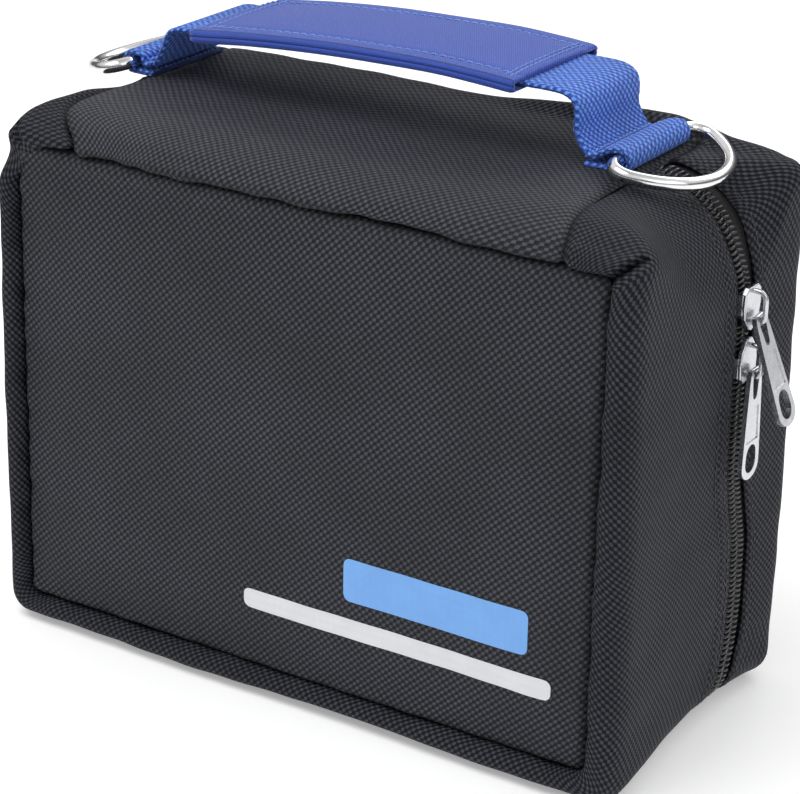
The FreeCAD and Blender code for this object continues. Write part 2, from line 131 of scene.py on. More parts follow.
def run_length(points):
    """Distance walked along the first axis of an array of points."""
    steps = np.linalg.norm(np.diff(points, axis=0), axis=-1)
    return np.concatenate([np.zeros_like(steps[:1]), np.cumsum(steps, axis=0)])


def resample(outline, count, stretch=1.0, nudge=0.0):
    """Evenly spaced points on a smooth curve through an outline of pairs.

    stretch scales the first column when distances are measured; nudge keeps stations apart.
    """
    outline = np.array(outline, float)
    run = run_length(outline * [stretch, 1.0])
    stations = run + np.arange(len(run)) * nudge
    even = np.linspace(0, run[-1], count)
    return join(pchip(stations, outline[:, 0])(even), pchip(stations, outline[:, 1])(even))


def wave_field(seed, lengths, count=7):
    """Smooth wandering field over 3-D points, about -1 to 1, with wavelengths in mm."""
    random = np.random.RandomState(seed)
    waves = random.normal(size=(count, 3))
    waves = (waves / np.linalg.norm(waves, axis=1)[:, None]
             * (TAU / random.uniform(lengths[0], lengths[1], count))[:, None])
    phase = random.uniform(0, TAU, count)

    def field(points):
        return np.sin(points @ waves.T + phase).sum(-1) / math.sqrt(count) * 0.9
    return field


wander_body = wave_field(3, (45, 120))
wander_fine = wave_field(5, (14, 30))
wander_seam = wave_field(9, (7, 13))


# ------------------------------------------------------------------ meshes


def make_object(name, co, faces, uv, body, mat, sharp=None, dark=None):
    """Mesh object from mm points. uv is in mm; dark, 0 to 1, paints shade near seams and
    creases.
    """
    mesh = bpy.data.meshes.new(name)
    mesh.from_pydata((np.asarray(co) * MM).tolist(), [], faces)
    mesh.update()
    index = np.zeros(len(mesh.loops), np.int32)
    mesh.loops.foreach_get("vertex_index", index)
    layers = {"mm": np.asarray(uv, np.float32)}
    # the seam layer carries painted shade: seam valleys, creases and gaps darkened in the colour
    if dark is not None:
        layers["seam"] = np.stack([np.asarray(dark, np.float32)] * 2, -1)
    for layer_name, values in layers.items():
        layer = mesh.uv_layers.new(name=layer_name)
        layer.data.foreach_set("uv", values[index].ravel())
    mesh.polygons.foreach_set("use_smooth", [True] * len(mesh.polygons))
    if sharp:
        mesh.set_sharp_from_angle(angle=math.radians(sharp))
    ob = bpy.data.objects.new(name, mesh)
    bpy.context.scene.collection.objects.link(ob)
    mesh.materials.append(mat)
    if body is not None:
        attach(ob, body)
    return ob


def recalc_normals(ob):
    bm = bmesh.new()
    bm.from_mesh(ob.data)
    bmesh.ops.recalc_face_normals(bm, faces=bm.faces)
    bm.to_mesh(ob.data)
    bm.free()


def grid_normals(grid, loop=False):
    """Normals of a (rows, cols, 3) grid; loop closes the columns."""
    if loop:
        across = np.roll(grid, -1, 1) - np.roll(grid, 1, 1)
    else:
        across = np.gradient(grid, axis=1)
    normal = np.cross(across, np.gradient(grid, axis=0))
    return normal / np.maximum(np.linalg.norm(normal, axis=2, keepdims=True), 1e-9)


def sign_away(normals, offset):
    """1 where the normals mostly follow the offsets, otherwise -1."""
    return 1.0 if (normals * offset).sum(-1).mean() > 0 else -1.0


def outward(grid):
    """Normals turned away from the grid's middle, and the sign that turned them."""
    normals = grid_normals(grid)
    sign = sign_away(normals, grid - grid.reshape(-1, 3).mean(0))
    return normals * sign, sign


def shell(name, grid, uv, thick, body, mat, sign=1.0, loop=False, dark=None):
    """Closed cloth: the grid is its outer face, the inner face is set in along the normals."""
    rows, cols = grid.shape[:2]
    depth = np.broadcast_to(thick, (rows, cols))[..., None]
    inner = grid - grid_normals(grid, loop) * sign * depth
    co = np.concatenate([grid.reshape(-1, 3), inner.reshape(-1, 3)])
    count = rows * cols
    faces = []

    def quad(*corners):
        faces.append(corners if sign > 0 else corners[::-1])
    spans = [(col, (col + 1) % cols) for col in range(cols if loop else cols - 1)]
    for row in range(rows - 1):
        for col, after in spans:
            here, beside = row * cols + col, row * cols + after
            under, across = here + cols, beside + cols
            quad(here, beside, across, under)
            quad(count + here, count + under, count + across, count + beside)
    last = (rows - 1) * cols
    for col, after in spans:
        quad(col, count + col, count + after, after)
        quad(last + col, last + after, count + last + after, count + last + col)
    if not loop:
        for row in range(rows - 1):
            here, under = row * cols, (row + 1) * cols
            quad(here, under, count + under, count + here)
            here, under = here + cols - 1, under + cols - 1
            quad(here, count + here, count + under, under)
    if dark is not None:
        dark = np.concatenate([dark.ravel()] * 2)
    return make_object(name, co, faces, np.concatenate([uv.reshape(-1, 2)] * 2), body, mat,
                       62, dark)


def thread(path, radius, up):
    """Six-sided round thread along a path, capped. Returns points, faces and uv."""
    path = np.asarray(path, float)
    count, sides = len(path), 6
    angle = np.arange(sides) * TAU / sides
    ring = join(radius * np.cos(angle), radius * np.sin(angle))
    tangent = np.gradient(path, axis=0)
    tangent /= np.maximum(np.linalg.norm(tangent, axis=1)[:, None], 1e-9)
    first = np.broadcast_to(np.asarray(up, float), (count, 3))
    first = first - (first * tangent).sum(1)[:, None] * tangent
    first /= np.maximum(np.linalg.norm(first, axis=1)[:, None], 1e-9)
    second = np.cross(tangent, first)
    co = path[:, None] + first[:, None] * ring[:, 0:1] + second[:, None] * ring[:, 1:2]
    uv = join(run_length(path)[:, None], run_length(ring)[None])
    faces = []
    for i in range(count - 1):
        for j in range(sides):
            after = (j + 1) % sides
            faces.append((i * sides + j, i * sides + after,
                          (i + 1) * sides + after, (i + 1) * sides + j))
    faces.append(tuple(range(sides - 1, -1, -1)))
    faces.append(tuple((count - 1) * sides + j for j in range(sides)))
    return co.reshape(-1, 3), faces, uv.reshape(-1, 2)


class Pile:
    """Many small threads gathered in one mesh."""

    def __init__(self):
        self.co, self.faces, self.uv, self.count = [], [], [], 0

    def add(self, co, faces, uv):
        self.co.append(co)
        self.uv.append(uv)
        self.faces += [tuple(i + self.count for i in face) for face in faces]
        self.count += len(co)

    def stitch(self, line, normals, length, gap, radius, lift):
        """Short threads laid along a line, each dipping into the cloth at its ends."""
        run = run_length(line)
        dip = np.array([-0.35, 0.05, 0.16, 0.05, -0.35]) * (radius / 0.3)
        for i in range(int(run[-1] / (length + gap))):
            start = i * (length + gap) + gap / 2
            at = start + length * np.array([0, 0.18, 0.5, 0.82, 1.0])
            path = np.stack([np.interp(at, run, line[:, k]) for k in range(3)], -1)
            up = np.stack([np.interp(at, run, normals[:, k]) for k in range(3)], -1)
            up /= np.linalg.norm(up, axis=1)[:, None]
            self.add(*thread(path + up * (dip + lift)[:, None], radius, up))

    def build(self, name, body, mat):
        return make_object(name, np.concatenate(self.co), self.faces, np.concatenate(self.uv),
                           body, mat)


# ------------------------------------------------------------------ shader nodes


class Nodes:
    """Short ways to add nodes to a tree. Values may be numbers, colours or node outputs."""

    def __init__(self, tree):
        self.tree = tree

    def new(self, kind):
        return self.tree.nodes.new(kind)

    def feed(self, socket, value):
        if hasattr(value, "is_output"):
            self.tree.links.new(value, socket)
        elif isinstance(value, tuple):
            socket.default_value = (*value, 1)
        else:
            socket.default_value = value

    def fill(self, node, values):
        for key, value in values.items():
            self.feed(node.inputs[key], value)

    def calc(self, operation, *values):
        node = self.new("ShaderNodeMath")
        node.operation = operation
        for socket, value in zip(node.inputs, values):
            self.feed(socket, value)
        return node.outputs[0]

    def sine(self, value, turn):
        return self.calc("SINE", self.calc("MULTIPLY", value, turn))

    def mix(self, factor, first, second, blend="MIX"):
        node = self.new("ShaderNodeMix")
        node.data_type, node.blend_type = "RGBA", blend
        self.fill(node, {"Factor": factor, 6: first, 7: second})
        return node.outputs[2]

    def separate(self, vector):
        node = self.new("ShaderNodeSeparateXYZ")
        self.feed(node.inputs[0], vector)
        return node.outputs

    def uv(self, layer):
        node = self.new("ShaderNodeUVMap")
        node.uv_map = layer
        parts = self.separate(node.outputs[0])
        return parts[0], parts[1]

    def noise(self, scale, detail=3.0):
        coords = self.new("ShaderNodeTexCoord")
        node = self.new("ShaderNodeTexNoise")
        self.fill(node, {"Scale": scale, "Detail": detail, "Roughness": 0.55,
                         "Vector": coords.outputs["Object"]})
        return node.outputs[0]

    def wander(self, scale, amount):
        """Noise centred on zero, for yarns that don't run quite straight."""
        centred = self.calc("SUBTRACT", self.noise(scale=scale, detail=2.0), 0.5)
        return self.calc("MULTIPLY", centred, amount)

    def ramp(self, factor, *stops):
        """Colour ramp; each stop is (position, grey or colour)."""
        node = self.new("ShaderNodeValToRGB")
        elements = node.color_ramp.elements
        while len(elements) < len(stops):
            elements.new(0.5)
        for element, (position, value) in zip(elements, stops):
            element.position = position
            colour = value if isinstance(value, tuple) else (value,) * 3
            element.color = (*colour, 1)
        self.feed(node.inputs[0], factor)
        return node.outputs[0]

    def bump(self, height, strength, distance, normal=None):
        node = self.new("ShaderNodeBump")
        self.fill(node, {"Strength": strength, "Distance": distance, "Height": height})
        if normal is not None:
            self.feed(node.inputs["Normal"], normal)
        return node.outputs[0]


def new_material(name):
    material = bpy.data.materials.new(name)
    material.use_nodes = True
    tree = material.node_tree
    return material, Nodes(tree), tree.nodes["Principled BSDF"]


# ------------------------------------------------------------------ materials


def nylon(name, period=2.45, raised=(0.0550, 0.0582, 0.0750), gap=(0.0050, 0.0052, 0.0072),
          relief=1.0, specular=0.24, sheen=0.05):
    """Coarse basket-woven nylon: a staggered lattice of raised floats, painted lit, over gaps
    painted in shade.
    """
    material, nodes, shader = new_material(name)
    calc = nodes.calc
    u, v = nodes.uv("mm")
    turn = TAU / period
    skew_u, skew_v = 0.10, 0.03         # how far each yarn drifts along the other
    lean_share, filament_share = 0.42, 0.05
    filaments = 4.3                     # filament waves per weave wave
    # seam_shade sets how dark the painted shade of seams, creases and gaps gets
    seam_shade = 0.85
    wander = nodes.wander(scale=130.0, amount=0.55)
    warp = calc("ADD", calc("SUBTRACT", u, calc("MULTIPLY", v, skew_u)), wander)
    weft = calc("ADD", calc("SUBTRACT", v, calc("MULTIPLY", u, skew_v)), wander)
    lattice = calc("MULTIPLY", nodes.sine(warp, turn), nodes.sine(weft, turn))
    # a float leans from lower left to upper right
    lean = nodes.sine(calc("SUBTRACT", warp, weft), turn)
    lattice = calc("ADD", lattice, calc("MULTIPLY", lean, lean_share))
    height = calc("MULTIPLY_ADD", lattice, 0.5, 0.5)    # from -1..1 to 0..1
    filament = nodes.sine(calc("ADD", warp, calc("MULTIPLY", weft, 0.5)), turn * filaments)
    speckle_noise = nodes.noise(scale=1500.0, detail=2.0)
    # painted light and shade of the weave: the raised colour lights the floats, the gap colour
    # shades the gaps
    colour = nodes.mix(nodes.ramp(height, (0.40, 0.0), (0.58, 0.42), (0.80, 1.0)), gap, raised)
    blotch = nodes.ramp(nodes.noise(scale=22.0, detail=4.0), (0.3, 0.82), (0.7, 1.16))
    speckle = nodes.ramp(speckle_noise, (0.3, 0.72), (0.72, 1.3))
    colour = nodes.mix(1.0, colour, blotch, blend="MULTIPLY")
    colour = nodes.mix(0.8, colour, speckle, blend="MULTIPLY")
    # painted shade from the seam layer, mixed towards near black in the base colour
    painted_shade_mask = calc("MULTIPLY", nodes.uv("seam")[0], seam_shade)
    relief_height = calc("ADD", height, calc("MULTIPLY", filament, filament_share))
    weave = nodes.bump(relief_height, strength=0.75 * relief, distance=0.00045)
    nodes.fill(shader, {
        "Base Color": nodes.mix(painted_shade_mask, colour, (0.003, 0.003, 0.0035)),
        "Roughness": 0.62, "Specular IOR Level": specular,
        "Sheen Weight": sheen, "Sheen Roughness": 0.45,
        "Normal": nodes.bump(nodes.noise(scale=90.0), strength=0.10, distance=0.0012,
                             normal=weave)})
    return material


def twill(name, base, light, dark, pitch, slope, depth, rough, sheen=0.25):
    """Woven tape: diagonal ribs with a little sheen."""
    material, nodes, shader = new_material(name)
    calc = nodes.calc
    u, v = nodes.uv("mm")
    turn = TAU / pitch
    cross_share, cross_turn = 0.35, turn * 1.1
    diagonal = calc("ADD", calc("MULTIPLY", u, 1.0), calc("MULTIPLY", v, slope))
    rib = nodes.sine(calc("ADD", diagonal, nodes.wander(scale=260.0, amount=0.5)), turn)
    cross = nodes.sine(v, cross_turn)
    ribs = calc("ADD", rib, calc("MULTIPLY", cross, cross_share))
    height = calc("MULTIPLY_ADD", ribs, 0.37, 0.5)      # to about 0..1
    colour = nodes.mix(nodes.ramp(height, (0.08, 0.0), (0.55, 0.55), (0.95, 1.0)), dark, light)
    fade = nodes.ramp(nodes.noise(scale=60.0, detail=4.0), (0.3, 0.15), (0.7, 0.75))
    colour = nodes.mix(fade, colour, base)
    speckle = nodes.ramp(nodes.noise(scale=1700.0, detail=2.0), (0.3, 0.8), (0.75, 1.2))
    weave = nodes.bump(height, strength=0.8, distance=depth)
    nodes.fill(shader, {
        "Base Color": nodes.mix(0.7, colour, speckle, blend="MULTIPLY"),
        "Roughness": rough, "Sheen Weight": sheen, "Sheen Roughness": 0.35,
        "Specular IOR Level": 0.4,
        "Normal": nodes.bump(nodes.noise(scale=700.0, detail=2.0), strength=0.2,
                             distance=0.0003, normal=weave)})
    return material


def metal(name, colour, rough, wear):
    """Metal whose roughness wanders from rough to rough + wear."""
    material, nodes, shader = new_material(name)
    scale = 220.0
    grain = nodes.noise(scale=scale, detail=4.0)
    darker = tuple(c * 0.86 for c in colour)
    nodes.fill(shader, {
        "Base Color": nodes.mix(nodes.ramp(grain, (0.3, 0.0), (0.7, 1.0)), darker, colour),
        "Roughness": nodes.ramp(nodes.noise(scale=scale * 2.3), (0.3, rough),
                                (0.75, rough + wear)),
        "Metallic": 1.0,
        "Normal": nodes.bump(grain, strength=0.06, distance=0.0003)})
    return material


def plain_cloth(name, colour, rough, pitch, vary, depth=0.0002):
    """Fine plain weave; vary is how far the colour strays each way."""
    material, nodes, shader = new_material(name)
    u, v = nodes.uv("mm")
    turn = TAU / pitch
    yarns = nodes.calc("ADD", nodes.sine(u, turn), nodes.sine(v, turn))
    height = nodes.calc("MULTIPLY_ADD", yarns, 0.25, 0.5)   # to 0..1
    patches = nodes.ramp(nodes.noise(scale=120.0, detail=4.0), (0.3, 0.0), (0.7, 1.0))
    dark = tuple(c * (1 - vary) for c in colour)
    light = tuple(min(1, c * (1 + vary)) for c in colour)
    weave_share = 0.35
    mixed = nodes.mix(patches, dark, light)
    nodes.fill(shader, {
        "Base Color": nodes.mix(nodes.calc("MULTIPLY", height, weave_share), mixed, dark),
        "Roughness": rough, "Sheen Weight": 0.1,
        "Normal": nodes.bump(height, strength=0.6, distance=depth)})
    return material


def foam(name):
    material, nodes, shader = new_material(name)
    coords = nodes.new("ShaderNodeTexCoord")
    cells = nodes.new("ShaderNodeTexVoronoi")
    nodes.fill(cells, {"Scale": 900.0, "Vector": coords.outputs["Object"]})
    distance = cells.outputs["Distance"]
    nodes.fill(shader, {
        "Base Color": nodes.ramp(distance, (0.05, (0.05, 0.05, 0.052)),
                                 (0.5, (0.17, 0.17, 0.175))),
        "Roughness": 0.95,
        "Normal": nodes.bump(distance, strength=0.6, distance=0.0004)})
    return material


def coil_plastic(name):
    material, nodes, shader = new_material(name)
    nodes.feed(shader.inputs["Base Color"], (0.016, 0.016, 0.018))  # if the link is removed
    patches = nodes.ramp(nodes.noise(scale=300.0), (0.35, 0.0), (0.7, 1.0))
    nodes.fill(shader, {
        "Base Color": nodes.mix(patches, (0.018, 0.018, 0.021), (0.048, 0.048, 0.054)),
        "Roughness": 0.28, "Specular IOR Level": 0.6,
        "Normal": nodes.bump(nodes.noise(scale=900.0, detail=2.0), strength=0.1,
                             distance=0.0002)})
    return material


NYLON = nylon("coarse_nylon")
# lighter copy of the nylon for the top cloth: painted light, as the top is lit more from above
NYLON_TOP_PAINTED_LIGHT = nylon("coarse_nylon_top", raised=(0.0670, 0.0710, 0.0910),
                  gap=(0.0062, 0.0064, 0.0089))
# copy of the nylon for the side walls with darker floats: painted shade on the walls lit at a
# graze
NYLON_SIDE_PAINTED_SHADE = nylon("coarse_nylon_side", period=2.35, raised=(0.0520, 0.0550, 0.0700),
                   gap=(0.0056, 0.0058, 0.0080), specular=0.14, sheen=0.0)
WEBBING = nylon("blue_webbing", period=2.5, raised=(0.130, 0.345, 1.0),
                gap=(0.026, 0.074, 0.40), relief=1.5, specular=0.35, sheen=0.12)
GRIP = twill("blue_twill", base=(0.029, 0.078, 0.44), light=(0.040, 0.103, 0.52),
             dark=(0.018, 0.050, 0.32), pitch=0.75, slope=0.6, depth=0.00016, rough=0.55,
             sheen=0.3)
# a spare tape colour, on no piece
twill("blue_binding", base=(0.034, 0.075, 0.38), light=(0.05, 0.10, 0.47),
      dark=(0.017, 0.04, 0.22), pitch=0.9, slope=0.2, depth=0.00028, rough=0.6)
THREAD = plain_cloth("blue_thread", (0.20, 0.34, 0.78), rough=0.45, pitch=0.5, vary=0.18)
THREAD_DARK = plain_cloth("dark_thread", (0.035, 0.036, 0.042), rough=0.5, pitch=0.5, vary=0.3)
TAPE = plain_cloth("zip_tape", (0.012, 0.012, 0.014), rough=0.75, pitch=0.9, vary=0.3)
LINING = plain_cloth("lining_cloth", (0.016, 0.016, 0.018), rough=0.6, pitch=0.7, vary=0.2)
BINDING = plain_cloth("binding_tape", (0.02, 0.02, 0.023), rough=0.7, pitch=1.1, vary=0.25,
                      depth=0.0004)
FOAM = foam("grey_foam")
CHROME = metal("ring_chrome", (0.86, 0.86, 0.87), rough=0.09, wear=0.08)
NICKEL = metal("slider_nickel", (0.62, 0.63, 0.66), rough=0.20, wear=0.14)
BAR_BLUE = plain_cloth("print_blue", (0.17, 0.40, 0.83), rough=0.55, pitch=2.45, vary=0.05)
BAR_WHITE = plain_cloth("print_white", (0.72, 0.73, 0.76), rough=0.55, pitch=2.45, vary=0.04)
COIL = coil_plastic("zip_coil")

# ------------------------------------------------------------------ the body's outer form
# A rounded rectangle in x and z for each depth y, as a list:
# left, right, low, high, top right radius, bottom radius, top left radius.
STATIONS = [-56, -47, -42, -36, -24, -10, 8, 20, 32, 41, 46, 50]
wall_inset = pchip(STATIONS, [0.0, 0.0, 0.0, 0.2, 0.7, 1.5, 2.1, 2.1, 1.4, 0.5, 0.1, 0.4])
round_right = pchip(STATIONS, [4.5, 5.5, 9.0, 15.0, 26, 33, 36.5, 36.8, 27, 10.5, 6.5, 5.0])
round_left = pchip(STATIONS, [4.5, 5.5, 8.0, 11.5, 17, 22, 25, 26, 24, 17, 10.5, 7.5])
round_bottom = pchip(STATIONS, [6.0, 7.0, 8.5, 10.0, 11, 12, 13, 13, 12, 11, 9, 8])
wall_high = pchip([-56, -50.8, -47.0, -42.0, -37.0, -33.0, -20, 0, 20, 40, 46, 50.5],
                  HEIGHT + np.array([-9.5, -8.6, -3.9, -1.5, -0.3, 0, -0.2, 0.2, 0.2, 0.2,
                                     -0.3, -3.0]))
wall_low = pchip([-56, -47, -40, 40, 47, 50.5], [0.4, 0.3, 0.05, 0.05, 0.3, 0.8])
# the left wall leans in towards the front
left_lean = pchip([-60, -52, -46, -38, -26, -10, 60], [4.6, 4.6, 4.3, 3.2, 1.2, 0.0, 0.0])

SIDE_HIGH, SIDE_LOW, BOTTOM_X = 126.0, 22.0, 92.0   # fixed places on the sides and bottom
# columns between fixed places, from the top right seam down, across and up to the top left one
COLUMNS = [72, 66, 24, 112, 24, 66, 72]
COUNT = sum(COLUMNS) + 1
EDGES = np.cumsum([0] + COLUMNS)


def wall_rect(y):
    inset = wall_inset(y)
    return [-HALF_WIDTH + inset + left_lean(y), HALF_WIDTH - inset, wall_low(y), wall_high(y),
            round_right(y), round_bottom(y), round_left(y)]


def wall_ends(rect):
    """Distances clockwise from the top centre to the ends of each straight and corner."""
    left, right, low, high, rad_right, rad_low, rad_left = rect
    quarter = math.pi / 2
    ends = [np.zeros_like(left)]
    for length in (right - rad_right, rad_right * quarter, (high - rad_right) - (low + rad_low),
                   rad_low * quarter, (right - rad_low) - (left + rad_low), rad_low * quarter,
                   (high - rad_left) - (low + rad_low), rad_left * quarter,
                   -(left + rad_left)):
        ends.append(ends[-1] + length)
    return ends


def as_columns(rect):
    return [np.asarray(values, float)[:, None] for values in rect]


def along(rect, run):
    """x and z on a rounded rectangle at distance run clockwise from its top centre."""
    rect = [np.broadcast_to(values, run.shape) for values in rect]
    left, right, low, high, rad_right, rad_low, rad_left = rect
    ends = wall_ends(rect)
    past = [np.clip(run - end, 0, None) for end in ends]
    within = [run <= end for end in ends[1:9]]
    turn_1, turn_2 = past[1] / rad_right, past[3] / rad_low
    turn_3, turn_4 = past[5] / rad_low, past[7] / rad_left
    x = np.select(within, [
        run, right - rad_right + rad_right * np.sin(turn_1), right,
        right - rad_low + rad_low * np.cos(turn_2), right - rad_low - past[4],
        left + rad_low - rad_low * np.sin(turn_3), left,
        left + rad_left - rad_left * np.cos(turn_4)], left + rad_left + past[8])
    z = np.select(within, [
        high, high - rad_right + rad_right * np.cos(turn_1), high - rad_right - past[2],
        low + rad_low - rad_low * np.sin(turn_2), low,
        low + rad_low - rad_low * np.cos(turn_3), low + rad_low + past[6],
        high - rad_left + rad_left * np.sin(turn_4)], high)
    return x, z


def fixed_places(rect):
    """Distances of the places between which the columns are shared out."""
    left, right, low, high, rad_right, rad_low, rad_left = rect
    ends = wall_ends(rect)
    flat, left_flat = right - rad_right, left + rad_left
    round_r = np.arcsin(np.clip((SEAM_RIGHT - flat) / rad_right, 0, 1))
    round_l = np.arccos(np.clip((left_flat - SEAM_LEFT) / rad_left, -1, 1))
    return [
        np.where(SEAM_RIGHT <= flat, SEAM_RIGHT, flat + rad_right * round_r),
        ends[2] + (high - rad_right - SIDE_HIGH),
        ends[2] + (high - rad_right - SIDE_LOW),
        ends[4] + (right - rad_low - BOTTOM_X),
        ends[4] + (right - rad_low + BOTTOM_X),
        ends[6] + SIDE_LOW - (low + rad_low),
        ends[6] + SIDE_HIGH - (low + rad_low),
        np.where(SEAM_LEFT >= left_flat, ends[8] + (SEAM_LEFT - left_flat),
                 ends[7] + rad_left * round_l)]


def strip_points(rect):
    """x, z and walked distance of every column, one row for each rectangle."""
    rect = as_columns(rect)
    places = fixed_places(rect)
    runs = [start + (end - start) * (np.arange(count) / count)[None]
            for start, end, count in zip(places, places[1:], COLUMNS)]
    run = np.concatenate(runs + [places[7]], 1)
    x, z = along(rect, run)
    return x, z, run


TABLE_START, TABLE_STEP = -56.0, 0.5
WALL_X, WALL_Z, WALL_RUN = strip_points(wall_rect(np.arange(TABLE_START, 52.01, TABLE_STEP)))


def look(table, depth, start=TABLE_START, step=TABLE_STEP):
    """Table values of each column at depth (rows, cols)."""
    at = np.clip((depth - start) / step, 0, len(table) - 1.001)
    row = np.floor(at).astype(int)
    t = at - row
    cols = np.arange(table.shape[1])[None]
    return table[row, cols] * (1 - t) + table[row + 1, cols] * t


def wall_points(depth):
    return join(look(WALL_X, depth), depth, look(WALL_Z, depth))


# the zip line: its depth y against height z, then at each column
zip_depth = pchip([-20, 8, 22, 36, 52, 68, 82, 146, 160, 200],
                  [20, 20.5, 24.0, 25.3, 25.0, 21.6, 18.6, 18.0, 19.5, 20.0])
middle = np.full((1, COUNT), 20.0)
MIDDLE_X, MIDDLE_Z, WALK = (look(table, middle)[0] for table in (WALL_X, WALL_Z, WALL_RUN))
ZIP_Y = zip_depth(MIDDLE_Z)

# each column's share of the top-edge style of the front seam: 1 on the top, 0 down the sides
TOP_SHARE = np.zeros(COUNT)
corner_count = COLUMNS[0]
TOP_SHARE[:corner_count] = 1 - smooth((np.arange(corner_count) / corner_count - 0.30) / 0.32)
TOP_SHARE[COUNT - corner_count:] = TOP_SHARE[:corner_count][::-1]

# sideways bend of each top seam against y
sway_right = pchip([-56, -52, -47, -38, -30, -20, 0, 30, 52],
                   [8.4, 8.2, 6.2, 3.2, 1.2, -0.4, -0.8, -0.2, 0.6])
sway_left = pchip([-56, -52, -48, -44.6, -38, -28, -18, 0, 52],
                  [16.2, 16.0, 12.5, 8.2, 2.4, -0.6, -0.8, 0, 0])
# how far the back edge of the top stands up, against x
puff_height = pchip([-103, -80, 0, 28, 50, 62, 69, 76, 82, 89, 102, 108, 114],
                    [-1.0, 0.6, 0.9, 3.2, 4.9, 5.9, 5.9, 5.4, 4.6, 3.0, 1.6, 0.0, 0.0])


def sway(grid):
    """Bends the top seams and the cloth beside them."""
    moved = grid.copy()
    on_top = smooth((grid[..., 2] - 148.0) / 10.0)
    for seam, bend, reach_in, reach_out in ((SEAM_RIGHT, sway_right, 16.0, 13.0),
                                            (SEAM_LEFT, sway_left, 30.0, 10.5)):
        away = grid[..., 0] - seam
        reach = np.where(away * np.sign(seam) < 0, reach_in, reach_out)
        depth = np.clip(grid[..., 1], -56, 52)
        moved[..., 0] += bend(depth) * bell(away, reach) * on_top
    return moved


def puff(grid):
    """The back edge of the top stands up a little between its seams."""
    moved = grid.copy()
    share = bell(grid[..., 1], 4.6, 48.0) * smooth((grid[..., 2] - 150.0) / 12.0)
    moved[..., 2] += puff_height(grid[..., 0]) * share
    return moved


def across_seams(grid, width, centre=0.0):
    """Bells across both top seams, on the top only."""
    x = grid[..., 0]
    both = (bell(np.abs(x - SEAM_RIGHT), width, centre)
            + bell(np.abs(x - SEAM_LEFT), width, centre))
    return np.where(grid[..., 2] > 150, both, 0)


def pinch(grid, centre, direction, width, length, depth, inward):
    """A short crease: pulls points near a line segment inwards."""
    direction = np.array(direction, float)
    direction /= np.linalg.norm(direction)
    offset = grid - np.array(centre, float)
    t = (offset * direction).sum(-1)
    away = np.linalg.norm(offset - t[..., None] * direction, axis=-1)
    weight = bell(away, width) * smooth((t + 1.5) / 3.0) * smooth((length + 1.5 - t) / 3.0)
    return grid + weight[..., None] * depth * np.array(inward, float)


def crease(grid, dark, start, end, width, depth, inward, swell):
    """A fold seen from the front between two (x, z) places: a valley with a swell each side."""
    start, end, inward = (np.array(v, float) for v in (start, end, inward))
    length = np.linalg.norm(end - start)
    unit = (end - start) / length
    offset = grid[..., [0, 2]] - start
    t = (offset * unit).sum(-1)
    away = np.abs(offset[..., 0] * -unit[1] + offset[..., 1] * unit[0])
    weight = (smooth((t + 1.0) / 2.5) * smooth((length + 1.5 - t) / 3.5)
              * smooth((-44.5 - grid[..., 1]) / 3.0))
    valley = np.exp(-(away / width) ** 1.6) * weight
    sides = bell(away, 1.7, 2.9) * weight
    grid = grid + (valley * depth)[..., None] * inward - (sides * swell)[..., None] * inward
    # painted shade down the crease valley, added to the dark mask
    return grid, np.maximum(dark, valley * valley * 0.9)


def strip_uv(grid):
    """Distance along the last row and down each column, so that the weave keeps its size."""
    run = run_length(grid[-1])
    down = run_length(grid)
    return join((run - run[EDGES[1] + 33])[None], down - down[-1:])


# ------------------------------------------------------------------ corner folds
# The front cover's cloth is split into a main part and two top corners. A fold plane for each
# corner runs from the hinge line to the zip above the upper slider.
HEM_FRONT, HEM_REAR = 4.5, 5.9          # from the zip line to the cloth's edges
EDGE_FRONT, EDGE_REAR = ZIP_Y - HEM_FRONT, ZIP_Y + HEM_REAR
CUT_RIGHT = EDGES[1] + 6
CUT_LEFT = COUNT - 1 - CUT_RIGHT
MAIN = slice(CUT_RIGHT, CUT_LEFT + 1)
CORNERS = (("right", slice(0, CUT_RIGHT + 1), 1), ("left", slice(CUT_LEFT, COUNT), -1))
FOLD_DEPTH = 6.0                        # depth in y over which a fold bends
FOLD_END = np.array([HALF_WIDTH - 2.0, EDGE_FRONT[EDGES[1]],
                     box_mm("slider_upper")[1][2] + 2.0])


def fold_slope(side):
    """The seam's x at a corner (side 1 right, -1 left), and the slope of its fold plane."""
    seam = SEAM_RIGHT if side > 0 else SEAM_LEFT
    return seam, (((FOLD_END[1] - HINGE_Y) / FOLD_DEPTH)
                  / ((FOLD_END[0] - abs(seam)) + (HINGE_Z - FOLD_END[2])))


def blend_corner(ob):
    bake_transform(ob)


def fold_walk(side):
    """Distance along the zip at which a corner's fold crosses it."""
    seam, slope = fold_slope(side)
    beyond = (slope * side * (MIDDLE_X - seam) - (ZIP_Y - HINGE_Y) / FOLD_DEPTH
              - slope * (MIDDLE_Z - HINGE_Z))
    if side > 0:
        cols = np.arange(0, CUT_RIGHT + 1)
    else:
        cols = np.arange(COUNT - 1, CUT_LEFT - 1, -1)
    return float(WALK[cols[int(np.argmax(beyond[cols] > 0))]])


def split_shell(name, corner_name, node, grid, thick, mat, sign, dark=None):
    """Front cover cloth in its main part, on the front cover, and two corners on no body."""
    uv = strip_uv(grid)
    thick = np.broadcast_to(thick, grid.shape[:2])

    def part(part_name, cols, body):
        return shell(part_name, grid[:, cols], uv[:, cols], thick[:, cols], body, mat,
                     sign, dark=None if dark is None else dark[:, cols])
    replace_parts(part(name, MAIN, "front_cover"), node)
    for label, cols, side in CORNERS:
        blend_corner(part(corner_name + "_" + label, cols, None))


